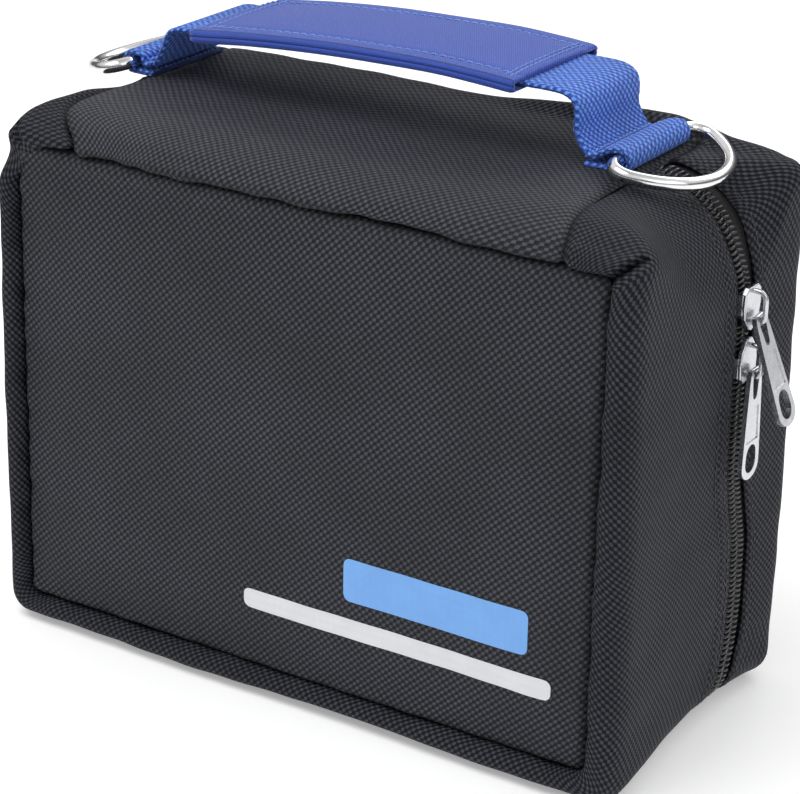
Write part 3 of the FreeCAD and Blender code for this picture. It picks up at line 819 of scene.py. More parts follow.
# ------------------------------------------------------------------ side strips
# (share of the way from the panel seam out to the wall, depth y)
RIM_SIDE = [(0, -48.6), (0.0, -50.4), (0.05, -52.3), (0.14, -53.8), (0.28, -54.6),
            (0.45, -54.9), (0.62, -54.6), (0.78, -53.4), (0.90, -51.6), (0.97, -49.4),
            (1.0, -47.0)]
RIM_TOP = [(0, -48.6), (0.0, -50.2), (0.05, -51.2), (0.13, -51.7), (0.24, -51.6),
           (0.34, -51.0), (0.42, -50.2), (0.49, -49.3), (0.55, -48.4), (0.59, -47.6),
           (0.62, -47.0)]
RIM_BACK = [(0.97, 48.6), (0.90, 50.2), (0.80, 51.3), (0.68, 52.1), (0.55, 52.6), (0.40, 52.7),
            (0.26, 52.3), (0.14, 51.4), (0.06, 50.3), (0.02, 49.4), (0.0, 48.2)]


def front_strip():
    """From the front panel's seam over the rim and back to the zip."""
    rim_y, rows = -47.0, 44
    share, side_y = resample(RIM_SIDE, 17, stretch=10, nudge=1e-6).T
    share_top, top_y = resample(RIM_TOP, 17, stretch=10, nudge=1e-6).T
    wall = wall_rect(np.full(len(share), rim_y))
    high = PANEL_HIGH + (HEIGHT - PANEL_HIGH) * share_top
    high[-1] = wall[3][-1]
    rect = [PANEL_LEFT + (wall[0] - PANEL_LEFT) * share,
            PANEL_RIGHT + (wall[1] - PANEL_RIGHT) * share,
            PANEL_LOW + (wall[2] - PANEL_LOW) * share, high,
            3.0 + 2.5 * share, 4.0 + 3.0 * share, 3.0 + 2.5 * share]
    x, z, _ = strip_points(rect)
    y = side_y[:, None] * (1 - TOP_SHARE)[None] + top_y[:, None] * TOP_SHARE[None]
    t = 1 - (1 - np.arange(1, rows + 1) / rows) ** 1.25
    wall_y = rim_y + (EDGE_FRONT[None] - rim_y) * t[:, None]
    return np.concatenate([join(x, y, z), wall_points(wall_y)], 0)


def front_side_cloth():
    """Builds the strip; returns its grid, sign and distances from the zip edge."""
    grid = front_strip()
    normals, sign = outward(grid)
    to_edge = EDGE_FRONT[None] - grid[..., 1]
    from_seam = run_length(grid)
    # wander of the padded cloth and puckers by the seam
    lift = 0.45 * wander_body(grid) * smooth(from_seam / 10) * smooth(to_edge / 8)
    lift += 0.16 * wander_fine(grid) * smooth(from_seam / 4)
    lift += 0.42 * wander_seam(grid) * bell(from_seam, 2.6, 2.2)
    # edge rolled under, two stitched grooves and the swell between them
    lift -= 0.55 * smooth(1 - to_edge / 1.3)
    lift -= 0.16 * bell(to_edge, 0.7, 3.0) + 0.22 * bell(to_edge, 0.9, 8.0)
    lift += 0.22 * bell(to_edge, 1.6, 5.6)
    lift += 0.12 * wander_seam(grid * 1.1 + 7) * bell(to_edge, 2.5, 8.0)
    # top seams pulled in, with puckers beside them
    lift -= 1.5 * across_seams(grid, 1.3)
    lift += 0.5 * wander_seam(grid) * across_seams(grid, 3.0, 3.0)
    grid = grid + normals * lift[..., None]
    # painted shade in the seam valley by the panel, in the gap at the rolled zip edge and along
    # the top seams
    dark = np.maximum(bell(from_seam, 1.5) * 0.85 + 0.5 * bell(to_edge, 1.0),
                      0.85 * across_seams(grid, 0.9))
    grid = sway(grid)
    grid, dark = crease(grid, dark, (103.2, 159.6), (112.2, 166.6), width=0.95, depth=4.2,
                        inward=(-0.15, 0.9, -0.25), swell=1.0)
    grid, dark = crease(grid, dark, (-100.8, 159.6), (-106.8, 166.0), width=1.15, depth=3.4,
                        inward=(0.15, 0.9, -0.25), swell=0.9)
    grid[..., 2] = np.maximum(grid[..., 2], 0.0)        # flat where it rests
    thick = 0.9 + 0.8 * (1 - smooth((to_edge - 7.0) / 2.0))
    split_shell("front_side_cloth", "front_corner_cloth", "front_gusset", grid, thick,
                NYLON_SIDE_PAINTED_SHADE, sign, dark)
    return grid, sign, to_edge


def rear_side_cloth():
    """From the zip's rear edge to the back seam; returns as front_side_cloth does."""
    rim_y, rows = 47.0, 26
    t = np.arange(rows + 1) / rows
    wall_y = EDGE_REAR[None] + (rim_y - EDGE_REAR[None]) * t[:, None]
    share, back_y = np.array(RIM_BACK).T
    wall = wall_rect(np.full(len(share), rim_y))
    inner = [PANEL_LEFT, PANEL_RIGHT, PANEL_LOW, BACK_HIGH, 6.0, 5.0, 6.0]
    x, z, _ = strip_points([near + (far - near) * share for near, far in zip(inner, wall)])
    grid = np.concatenate([wall_points(wall_y), join(x, back_y[:, None], z)], 0)
    normals, sign = outward(grid)
    to_edge = grid[..., 1] - EDGE_REAR[None]
    from_seam = run_length(grid)
    from_seam = from_seam[-1:] - from_seam
    lift = 0.4 * wander_body(grid + 31) * smooth(from_seam / 8) * smooth(to_edge / 6)
    lift += 0.14 * wander_fine(grid)
    lift -= 0.6 * smooth(1 - to_edge / 1.3) + 0.18 * bell(to_edge, 0.8, 3.2)
    lift -= 0.8 * across_seams(grid, 1.6)
    # painted shade in the seam valley at the back, in the gap at the rolled zip edge and along
    # the top seams
    dark = np.maximum(0.8 * bell(from_seam, 1.5) + 0.5 * bell(to_edge, 1.0),
                      0.85 * across_seams(grid, 0.9))
    grid = sway(puff(grid + normals * lift[..., None]))
    grid[..., 2] = np.maximum(grid[..., 2], 0.0)
    thick = 0.9 + 0.8 * (1 - smooth((to_edge - 4.0) / 2.0))
    ob = shell("rear_side_cloth", grid, strip_uv(grid), thick, "rear_shell", NYLON_SIDE_PAINTED_SHADE,
               sign, dark=dark)
    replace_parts(ob, "rear_gusset")
    return grid, sign, to_edge


front_grid, front_sign, front_to_edge = front_side_cloth()
rear_grid, rear_sign, rear_to_edge = rear_side_cloth()

# ------------------------------------------------------------------ top cloth
# (depth y, height above the front panel's seam)
TOP_FRONT = [(-48.6, 0.0), (-50.2, 0.1), (-51.3, 0.7), (-51.7, 1.5), (-51.3, 2.8), (-50.2, 4.1),
             (-48.6, 5.3), (-46.0, 6.7), (-42.5, 7.9), (-38.5, 8.9), (-34.0, 9.4), (-28.0, 9.5)]
# (depth y, height above the body height)
TOP_BACK = [(44.0, 0.1), (46.5, -0.2), (48.8, -1.0), (50.6, -2.3), (51.8, -4.0), (52.0, -5.4),
            (51.2, -6.2), (48.4, -6.4)]


def top_cloth():
    """One piece across the hinge fold, between the two top seams."""
    xs = np.linspace(SEAM_LEFT, SEAM_RIGHT, 118)
    # closer rows over the fold
    middle_y = np.concatenate([np.arange(-26.5, HINGE_Y - 5.5, 1.6),
                               np.arange(HINGE_Y - 5.0, HINGE_Y + 5.1, 0.8),
                               np.arange(HINGE_Y + 6.4, 43.0, 1.6)])
    profile = np.concatenate([resample(np.array(TOP_FRONT) + [0, PANEL_HIGH], 26),
                              join(middle_y, wall_high(middle_y)),
                              resample(np.array(TOP_BACK) + [0, HEIGHT], 16)], 0)
    row_y, row_z = profile[:, 0:1], profile[:, 1:2]
    grid = join(xs[None], row_y, row_z)
    # beyond the start of a corner's radius the cloth lies lower than the flat of the top
    x, y = grid[..., 0], grid[..., 1]
    for side, radius_at in ((1, round_right), (-1, round_left)):
        radius = radius_at(y)
        over = np.clip(np.abs(x) - (HALF_WIDTH - wall_inset(y) - radius), 0, None)
        over = over * (np.sign(x) == side)
        drop = radius - np.sqrt(np.maximum(radius * radius - over * over, 0))
        grid[..., 2] -= np.where(y > -47.0, drop, 0)
    normals, sign = outward(grid)
    edge = np.minimum(SEAM_RIGHT - x, x - SEAM_LEFT)
    lift = 0.35 * wander_body(grid + 50) * smooth(edge / 12)
    lift += 0.15 * wander_fine(grid + 20) * smooth(edge / 3)
    lift += -1.5 * bell(edge, 1.3) + 0.35 * smooth(edge / 9) * smooth((y + 52) / 9)
    lift += 0.2 * wander_seam(grid + 3) * bell(edge, 3.0, 3.0)
    lift += 0.55 * wander_seam(grid + 13) * bell(y, 2.4, -51.0)
    # painted shade along the top seams, at the front seam and under the rolled back edge
    dark = 0.85 * bell(edge, 0.9) + 0.85 * bell(row_z, 1.6, PANEL_HIGH) * (row_y < 0)
    dark = dark + 0.8 * smooth((row_y - 49.0) / 2.0) * smooth((HEIGHT - 4.4 - row_z) / 1.5)
    grid = sway(puff(grid + normals * lift[..., None]))
    uv = join(xs[None], run_length(profile)[:, None])
    ob = shell("top_cloth", grid, uv, 0.95, None, NYLON_TOP_PAINTED_LIGHT, sign,
               dark=np.clip(dark, 0, 1))
    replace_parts(ob, "top_panel_front", "top_panel_rear")
    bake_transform(ob)


top_cloth()

# ------------------------------------------------------------------ front and back panels
PANEL_ROUND = 5.0                       # corner radius of the panels
FRONT_CROWN = dict(high=PANEL_HIGH, face=-50.4, crown=2.9, seed=0)
BACK_CROWN = dict(high=BACK_HIGH, face=-50.2, crown=2.2, seed=77)


def panel_edge(x, z, high):
    """Distance in from the panel's rounded seam."""
    from_side = np.minimum(x - PANEL_LEFT, PANEL_RIGHT - x)
    from_end = np.minimum(z - PANEL_LOW, high - z)
    in_x = np.clip(PANEL_ROUND - from_side, 0, None)
    in_z = np.clip(PANEL_ROUND - from_end, 0, None)
    edge = np.where((in_x > 0) & (in_z > 0), PANEL_ROUND - np.hypot(in_x, in_z),
                    np.minimum(from_side, from_end))
    return np.maximum(edge, 0)


def panel_depth(x, z, high, face, crown, seed):
    """Crowned cloth, as y of a front panel; the edge tucks into the seam."""
    edge = panel_edge(x, z, high)
    y = (face + 1.7 * np.exp(-(edge / 0.9) ** 1.1) - crown * (1 - np.exp(-(edge / 15.0)))
         - 0.45 * bell(edge, 2.2, 3.2))
    flat = join(x, np.zeros_like(x), z)
    y += 0.42 * wander_body(flat + seed) * smooth(edge / 14)
    y += 0.13 * wander_fine(flat + seed) * smooth(edge / 4)
    y += 0.45 * wander_seam(flat * 1.15 + seed) * bell(edge, 2.6, 2.5)
    return y


def rounded_grid(xs, zs, radius):
    """A flat grid whose corners are drawn in to a radius."""
    x, z = np.meshgrid(xs, zs)
    centre_x = np.clip(x, xs[0] + radius, xs[-1] - radius)
    centre_z = np.clip(z, zs[0] + radius, zs[-1] - radius)
    off_x, off_z = x - centre_x, z - centre_z
    larger = np.maximum(np.abs(off_x), np.abs(off_z))
    pull = np.where((np.abs(off_x) > 0) & (np.abs(off_z) > 0),
                    larger / np.maximum(np.hypot(off_x, off_z), 1e-9), 1.0)
    return centre_x + off_x * pull, centre_z + off_z * pull


def closer_at_ends(start, end, count):
    t = np.linspace(0, 1, count)
    return start + (end - start) * (t - 0.10 * np.sin(TAU * t) / TAU)


def panel_cloth(name, node, body, facing, counts, form):
    """Broad panel; facing is 1 for the front and -1 for the back."""
    high = form["high"]
    x, z = rounded_grid(closer_at_ends(PANEL_LEFT, PANEL_RIGHT, counts[0]),
                        closer_at_ends(PANEL_LOW, high, counts[1]), PANEL_ROUND)
    grid = join(x, facing * panel_depth(x, z, **form), z)
    if facing > 0:
        grid = pinch(grid, (PANEL_RIGHT + 0.6, -51.5, PANEL_HIGH - 1.2), (-6.0, -1.0, -4.5),
                     width=1.6, length=5.0, depth=1.4, inward=(0, 1, 0))
    # dark: painted shade where the panel tucks into its seam valley
    ob = shell(name, grid, join(x, z), 0.95, body, NYLON, facing,
               dark=0.85 * bell(panel_edge(x, z, high), 1.4))
    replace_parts(ob, node)


panel_cloth("front_panel_cloth", "front_panel", "front_cover", 1.0, (190, 142), FRONT_CROWN)
panel_cloth("rear_panel_cloth", "rear_panel", "rear_shell", -1.0, (120, 90), BACK_CROWN)

# printed bars, just proud of the front panel: name, x from and to, z from and to, material
for name, x0, x1, z0, z1, mat in (("print_bar_upper", 21.0, 84.0, 41.5, 55.5, BAR_BLUE),
                                  ("print_bar_lower", -15.5, 92.0, 29.0, 35.5, BAR_WHITE)):
    x, z = rounded_grid(np.linspace(x0, x1, 80), np.linspace(z0, z1, 14), 2.2)
    grid = join(x, panel_depth(x, z, **FRONT_CROWN) - 0.14, z)
    shell(name, grid, join(x, z), 0.10, "front_cover", mat)

# ------------------------------------------------------------------ zip tapes
step_x, step_z = np.gradient(WALL_X, axis=1), np.gradient(WALL_Z, axis=1)
step_length = np.hypot(step_x, step_z)
# the walk is clockwise, so outward is to the left of each step
NORMAL_X, NORMAL_Z = -step_z / step_length, step_x / step_length
TAPE_INSET = 2.3


def on_wall(column, y, inset):
    """Points on the wall at (fractional) columns and depth y, set in."""
    column = np.clip(np.asarray(column, float), 0, COUNT - 1.001)
    col = np.floor(column).astype(int)
    t = column - col
    y = np.asarray(y, float)
    at = np.clip((y - TABLE_START) / TABLE_STEP, 0, len(WALL_X) - 1.001)
    row = np.floor(at).astype(int)
    u = at - row

    def between(table, rows):
        return table[rows, col] * (1 - t) + table[rows, col + 1] * t

    def value(table):
        return between(table, row) * (1 - u) + between(table, row + 1) * u
    normal_x, normal_z = between(NORMAL_X, row), between(NORMAL_Z, row)
    length = np.hypot(normal_x, normal_z)
    return join(value(WALL_X) - normal_x / length * inset, y,
                value(WALL_Z) - normal_z / length * inset)


def tape_grid(start, end):
    """Nine rows from start to end, measured in y from the zip line."""
    y = ZIP_Y[None] + np.linspace(start, end, 9)[:, None]
    columns = np.broadcast_to(np.arange(COUNT, dtype=float), y.shape)
    return on_wall(columns, y, TAPE_INSET)


TAPE_NEAR, TAPE_FAR, TAPE_THICK = 0.3, 12.4, 0.6
grid = tape_grid(-TAPE_FAR, -TAPE_NEAR)
split_shell("zip_tape_front_cloth", "zip_tape_front_cloth", "zip_tape_front", grid, TAPE_THICK,
            TAPE, outward(grid)[1])
grid = tape_grid(TAPE_NEAR, TAPE_FAR)
rear_tape = shell("zip_tape_rear_cloth", grid, strip_uv(grid), TAPE_THICK, "rear_shell", TAPE,
                  outward(grid)[1])
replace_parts(rear_tape, "zip_tape_rear")

# ------------------------------------------------------------------ zip coils
# one looped filament each side, meshing along the zip line
COIL_PITCH, COIL_RADIUS, LOOP_POINTS = 1.72, 0.42, 10
WALK_START, WALK_END = WALK[0] + 0.5, WALK[-1] - 0.5
FOLD_WALK_RIGHT, FOLD_WALK_LEFT = fold_walk(1), fold_walk(-1)


def coil_path(side, start, end):
    """Filament between two distances along the zip; side is -1 for the front, 1 for the rear."""
    first = math.ceil((start - WALK_START) / COIL_PITCH)
    last = math.floor((end - WALK_START) / COIL_PITCH)
    loops = np.arange(int((last - first) * LOOP_POINTS) + 1) / LOOP_POINTS + first
    if side > 0:
        loops = loops + 0.5
    walk = np.clip(WALK_START + loops * COIL_PITCH, WALK[0], WALK[-1])
    angle = loops * TAU
    # loops lean along the zip: the head at the middle is wider than the heel
    reach = side * (1.72 - 1.68 * np.cos(angle) + 0.10 * np.cos(2 * angle))
    walk = walk + 0.10 * COIL_PITCH * np.sin(angle)
    height = 0.75 + 0.75 * np.sin(angle)
    column = np.interp(walk, WALK, np.arange(COUNT))
    y = np.interp(column, np.arange(COUNT), ZIP_Y) + reach
    return on_wall(column, y, TAPE_INSET - height - COIL_RADIUS)


# The loops can't stretch, so the front coil parts where the corners' fold planes cross the zip.
# side, node, then its spans: start, end, name ending, body
FRONT_SPANS = ((FOLD_WALK_RIGHT, FOLD_WALK_LEFT, "", "front_cover"),
               (WALK_START, FOLD_WALK_RIGHT, "_right_end", "rear_shell"),
               (FOLD_WALK_LEFT, WALK_END, "_left_end", "rear_shell"))
for side, node, spans in ((-1, "zip_coil_front", FRONT_SPANS),
                          (1, "zip_coil_rear", ((WALK_START, WALK_END, "", "rear_shell"),))):
    for start, end, ending, body in spans:
        co, faces, uv = thread(coil_path(side, start, end), COIL_RADIUS, up=(0.3, 0.2, 1.0))
        ob = make_object(node + "_loops" + ending, co, faces, uv, body, COIL)
        if not ending:
            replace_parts(ob, node)

# ------------------------------------------------------------------ hem stitching
HEM_STITCH = dict(length=2.5, gap=0.7, radius=0.2, lift=0.02)


def hem_line(grid, sign, distance, at):
    """Points and normals where each column's distance, growing down the rows, reaches at."""
    rows, cols = grid.shape[:2]
    row = np.array([np.interp(at, distance[:, col], np.arange(rows)) for col in range(cols)])
    row = np.clip(row, 0, rows - 1.001)
    whole = np.floor(row).astype(int)
    t = (row - whole)[:, None]
    col = np.arange(cols)
    line = grid[whole, col] * (1 - t) + grid[whole + 1, col] * t
    return line, (grid_normals(grid) * sign)[whole, col]


def hem_stitches(name, line, normals, cols, body):
    pile = Pile()
    pile.stitch(line[cols], normals[cols], **HEM_STITCH)
    return pile.build(name, body, THREAD_DARK)


for inset, name in ((3.0, "stitch_front_a"), (8.0, "stitch_front_b")):
    line, normals = hem_line(front_grid, front_sign, -front_to_edge, -inset)
    hem_stitches(name, line, normals, MAIN, "front_cover")
    for label, cols, side in CORNERS:
        blend_corner(hem_stitches(name + "_" + label, line, normals, cols, None))
line, normals = hem_line(rear_grid, rear_sign, rear_to_edge, 3.2)
hem_stitches("stitch_rear", line, normals, slice(None), "rear_shell")

# ------------------------------------------------------------------ lining and seam binding
LINING_INSET = 6.6
# lining's broad face: (share of the way out from its middle, step in y towards the opening)
LINING_FACE = np.array([(0.03, 0.0), (0.15, 0.0), (0.3, 0.0), (0.45, 0.0), (0.6, 0.0),
                        (0.75, 0.05), (0.88, 0.2), (0.95, 0.7), (0.985, 1.5), (1.0, 2.8)])


def even_loop(rect, count=260):
    """x and z spread evenly round each rectangle."""
    rect = as_columns(rect)
    return along(rect, wall_ends(rect)[9] * (np.arange(count) / count)[None])


def inset_rect(rect, inset, radius_cut):
    left, right, low, high = rect[:4]
    return ([left + inset, right - inset, low + inset, high - inset]
            + [np.maximum(radius - radius_cut, 3.0) for radius in rect[4:]])


def close_middle(ob, rows, cols):
    """Closes the small hole at the middle of the broad face, on both faces of the cloth."""
    bm = bmesh.new()
    bm.from_mesh(ob.data)
    bm.verts.ensure_lookup_table()
    inner = rows * cols
    outer_ring, inner_ring = set(range(cols)), set(range(inner, inner + cols))
    rim = []
    for face in bm.faces:
        used = {vert.index for vert in face.verts}
        if len(used & outer_ring) == 2 and len(used & inner_ring) == 2:
            rim.append(face)
    bmesh.ops.delete(bm, geom=rim, context="FACES_ONLY")
    bm.verts.ensure_lookup_table()
    bm.faces.new([bm.verts[i] for i in range(cols)])
    bm.faces.new([bm.verts[inner + i] for i in range(cols)])
    bmesh.ops.recalc_face_normals(bm, faces=bm.faces)
    bm.to_mesh(ob.data)
    bm.free()
    ob.data.polygons.foreach_set("use_smooth", [True] * len(ob.data.polygons))


def lining(name, node, body, facing, base, side_gap, top_gap):
    """Walls and broad face as one cloth. base is the face's y; gaps are from zip and hinge."""
    share, step = LINING_FACE.T
    face_y = base + facing * step
    left, right, low, high = wall_rect(np.full(len(share), base + 4 * facing))[:4]
    mid_x, mid_z = 0.5 * (left + right), 0.5 * (low + high)
    x, z = even_loop([mid_x + (left + LINING_INSET - mid_x) * share,
                      mid_x + (right - LINING_INSET - mid_x) * share,
                      mid_z + (low + LINING_INSET - mid_z) * share,
                      mid_z + (high - LINING_INSET - mid_z) * share,
                      np.maximum(9.0 * share, 0.8), np.maximum(7.0 * share, 0.8),
                      np.maximum(9.0 * share, 0.8)])
    start, step_y = -50, 1.0
    stations = np.arange(start, 50.1, step_y)
    table_x, table_z = even_loop(inset_rect(wall_rect(stations), LINING_INSET, 4.5))
    mouth_x, mouth_z = table_x[70], table_z[70]         # at y = 20, near the zip
    top_share = (1 - smooth((np.abs(mouth_x) - (SEAM_RIGHT - 3)) / 6.0)) * (mouth_z > 120)
    end_y = (zip_depth(mouth_z) + side_gap) * (1 - top_share) + (HINGE_Y + top_gap) * top_share
    rows = 22
    t = (np.arange(1, rows + 1) / rows)[:, None]
    wall_y = face_y[-1] + (end_y[None] - face_y[-1]) * t
    walls = join(look(table_x, wall_y, start, step_y), wall_y,
                 look(table_z, wall_y, start, step_y))
    grid = np.concatenate([join(x, face_y[:, None], z), walls], 0)
    normals = grid_normals(grid, True)
    sign = sign_away(normals[14:], grid[14:] - np.array([0, base, 80.0]))
    wander = 0.35 * wander_body(grid + 90) + 0.2 * wander_fine(grid + 60)
    grid = grid + normals * sign * wander[..., None] * -0.5
    uv = join(grid[..., 0], grid[..., 2])
    uv[len(share):] = join(run_length(grid[-1])[None], wall_y)
    ob = shell(name, grid, uv, 0.5, body, LINING, sign, loop=True)
    close_middle(ob, *grid.shape[:2])
    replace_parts(ob, node)


def seam_binding(name, node, body, start):
    """Bowed tape round the inside of the walls, over the lining's seam."""
    ys = np.linspace(start + 1.0, start + 7.0, 7)
    bow = 0.7 * np.sin(np.linspace(0, math.pi, 7))
    x, z = even_loop(inset_rect(wall_rect(ys), LINING_INSET + 0.75 + bow, 5.2))
    grid = join(x, ys[:, None], z)
    uv = join(run_length(grid[3])[None], grid[..., 1])
    sign = sign_away(grid_normals(grid, True), grid - np.array([0, ys[0], 80.0]))
    ob = shell(name, grid, uv, 0.8, body, BINDING, -sign, loop=True)
    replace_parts(ob, node)


lining("front_lining_cloth", "front_lining", "front_cover", 1, base=-46.6, side_gap=-3.0,
       top_gap=-0.6)
seam_binding("front_binding_tape", "front_seam_binding", "front_cover", start=-45.4)
lining("rear_lining_cloth", "rear_lining", "rear_shell", -1, base=46.2, side_gap=3.2,
       top_gap=0.6)
seam_binding("rear_binding_tape", "rear_seam_binding", "rear_shell", start=37.0)

# ------------------------------------------------------------------ foam


def foam_sheet(name, node, grid, sign, body, near=1.9, far=6.1):
    """A foam sheet from near to far under a surface, its edges thinned and rounded."""
    rows, cols = grid.shape[:2]
    from_end = np.minimum(np.arange(rows), np.arange(rows)[::-1])[:, None] / 2.0
    from_side = np.minimum(np.arange(cols), np.arange(cols)[::-1])[None] / 2.0
    inside = np.clip(np.minimum(from_end, from_side), 0, 1)
    full = 0.35 + 0.65 * np.sqrt(np.clip(1 - (1 - inside) ** 2, 0, 1))
    centre, half = (near + far) / 2, (far - near) / 2
    surface = grid - grid_normals(grid) * sign * (centre - half * full)[..., None]
    uv = join(np.arange(1.0, cols + 1)[None], np.arange(1.0, rows + 1)[:, None])
    ob = shell(name, surface, uv, 2 * half * full, body, FOAM, sign)
    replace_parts(ob, node)


def wall_foam(part, label, start, end, y0, y1, rows, body):
    """Foam behind the wall between two columns and two depths."""
    columns, ys = np.meshgrid(np.linspace(start, end, int(abs(end - start)) + 1),
                              np.linspace(y0, y1, rows))
    grid = on_wall(columns, ys, 0.0)
    away = (grid - np.array([0, 0, 85.0])) * np.array([1, 0, 1])
    foam_sheet(part + "_foam_sheet_" + label, part + "_foam_" + label, grid,
               sign_away(grid_normals(grid), away), body)


for label, start, end in (("right", EDGES[1] - 3, EDGES[2] + 2), ("bottom", EDGES[3], EDGES[4]),
                          ("left", EDGES[5] - 2, EDGES[6] + 3)):
    wall_foam("front", label, start, end, -44.0, 4.0, 16, "front_cover")
    wall_foam("rear", label, start, end, 39.0, 46.0, 8, "rear_shell")
for part, y0, y1, body in (("front", -42.0, HINGE_Y - 1.0, "front_cover"),
                           ("rear", HINGE_Y + 1.0, 44.0, "rear_shell")):
    x, y = np.meshgrid(np.linspace(SEAM_LEFT + 4, SEAM_RIGHT - 6, 90), np.linspace(y0, y1, 24))
    foam_sheet(part + "_foam_sheet_top", part + "_foam_top", join(x, y, wall_high(y)), 1.0,
               body)
for part, sign, y, far, body in (("front", 1.0, -50.9, 3.9, "front_cover"),
                                 ("rear", -1.0, 49.9, 3.3, "rear_shell")):
    x, z = np.meshgrid(np.linspace(PANEL_LEFT + 7, PANEL_RIGHT - 7, 100),
                       np.linspace(PANEL_LOW + 7, PANEL_HIGH - 7, 80))
    foam_sheet(part + "_foam_sheet_panel", part + "_foam_panel", join(x, y, z), sign, body,
               near=0.4, far=far)

# ------------------------------------------------------------------ webbing
WEB_THICK = 1.7
BAR_RADIUS = 2.05                       # ring wire
WRAP_RADIUS = BAR_RADIUS + 0.12 + WEB_THICK / 2
FOLD_RIGHT, FOLD_LEFT = BAR_RIGHT[0] - 11.5, BAR_LEFT[0] + 8.0
# centre line of the handle strap: (x, z)
HANDLE = [(-90.1, 174.2), (-88.3, 177.2), (-86.3, 181.2), (-84.3, 185.4), (-80.5, 187.1),
          (-75.0, 187.4), (-66.0, 188.0), (-50.0, 189.8), (-30.0, 191.3), (-8.0, 192.3),
          (16.0, 192.7), (32.0, 192.1), (44.0, 191.3), (51.0, 191.3), (57.0, 190.9),
          (60.6, 188.9), (61.6, 185.2), (61.6, 180.5), (63.4, 176.6), (65.4, 174.2)]


def catmull_rom(points, count):
    """Curve through points, resampled evenly, with the distance of each sample."""
    points = np.array(points, float)
    points = np.vstack([2 * points[0] - points[1], points, 2 * points[-1] - points[-2]])
    t = np.linspace(0, 1, 24, endpoint=False)[:, None]
    spans = []
    for a, b, c, d in zip(points, points[1:], points[2:], points[3:]):
        spans.append(0.5 * (2 * b + (c - a) * t + (2 * a - 5 * b + 4 * c - d) * t ** 2
                            + (3 * b - a - 3 * c + d) * t ** 3))
    curve = np.vstack(spans + [points[-2][None]])
    run = run_length(curve)
    even = np.linspace(0, run[-1], count)
    return join(*(np.interp(even, run, column) for column in curve.T)), even


def strap_mesh(name, points, body, seed):
    """Woven strap along (x, z) points: soft edges where each pick of the weft shows.

    Returns the object, its centre line, the distance along it and its (x, z) normals.
    """
    length = sum(math.dist(a, b) for a, b in zip(points, points[1:]))
    count = int(length / 0.55)
    line, run = catmull_rom(points, count)
    tangent = np.gradient(line, axis=0)
    tangent /= np.linalg.norm(tangent, axis=1)[:, None]
    normal = join(-tangent[:, 1], tangent[:, 0])
    steps = 34
    width = WEB_Y1 - WEB_Y0
    across = np.array([0.5 - 0.5 * math.cos(math.pi * k / steps) for k in range(steps + 1)])
    from_edge = np.minimum(across, 1 - across) * width
    half = (WEB_THICK / 2
            * np.sqrt(np.clip(1 - np.clip(1 - from_edge / 0.9, 0, 1) ** 2, 0.0, 1)))
    weft = np.sin(TAU * run / 1.5)
    scallop, rib = 0.22 * weft, 0.05 * weft
    drift = 0.25 * np.sin(run / 17.0 + seed) * 0.6
    edge_0 = WEB_Y0 + scallop + drift
    edge_1 = WEB_Y1 - scallop + drift * 0.7
    around = 2 * steps
    co = np.zeros((count, around, 3))
    uv = np.zeros((count, around, 2))
    order = [(k, 1) for k in range(steps + 1)] + [(k, -1) for k in range(steps - 1, 0, -1)]
    for j, (k, face) in enumerate(order):
        off = face * (half[k] + rib * (half[k] > WEB_THICK * 0.3))
        co[:, j, 0] = line[:, 0] + normal[:, 0] * off
        co[:, j, 1] = edge_0 + (edge_1 - edge_0) * across[k]
        co[:, j, 2] = line[:, 1] + normal[:, 1] * off
        uv[:, j, 0] = run
        uv[:, j, 1] = across[k] * width + (0 if face > 0 else 40)
    faces = []
    for i in range(count - 1):
        for j in range(around):
            after = (j + 1) % around
            faces.append((i * around + j, (i + 1) * around + j,
                          (i + 1) * around + after, i * around + after))
    for i, step in ((0, 1), (count - 1, -1)):
        for k in range(steps):
            ring = (k, k + 1, around - k - 1, (around - k) % around)
            # the strips at the two edges are triangles
            corners = list(dict.fromkeys(i * around + corner for corner in ring))
            faces.append(tuple(corners[::step]))
    ob = make_object(name, co.reshape(-1, 3), faces, uv.reshape(-1, 2), body, WEBBING)
    recalc_normals(ob)
    return ob, line, run, normal


def loop_points(fold, bar, side):
    """(x, z) from the fold along the top, round the ring's bar and back over itself."""
    low, high = bar[2] - WRAP_RADIUS, bar[2] + WRAP_RADIUS
    points = [(fold + side * 0.3, low), (fold + side * 4.0, low - 0.05),
              (bar[0] - side * 3.0, low)]
    for k in range(9):
        angle = math.radians(-90 + 22.5 * k)
        points.append((bar[0] + side * WRAP_RADIUS * math.cos(angle),
                       bar[2] + WRAP_RADIUS * math.sin(angle)))
    return points + [(bar[0] - side * 3.4, high - 0.6),
                     (fold + side * 3.6, low + WEB_THICK + 1.3),
                     (fold + side * 0.6, low + WEB_THICK + 1.2)]


for label, fold, bar, side in (("right", FOLD_RIGHT, BAR_RIGHT, 1),
                               ("left", FOLD_LEFT, BAR_LEFT, -1)):
    ob = strap_mesh("ring_loop_web_" + label, loop_points(fold, bar, side), "rear_shell", 3)[0]
    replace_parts(ob, "ring_loop_" + label)

strap, strap_line, strap_run, strap_normal = strap_mesh("handle_strap", HANDLE, None, 5)
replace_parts(strap, "handle_webbing")
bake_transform(strap)

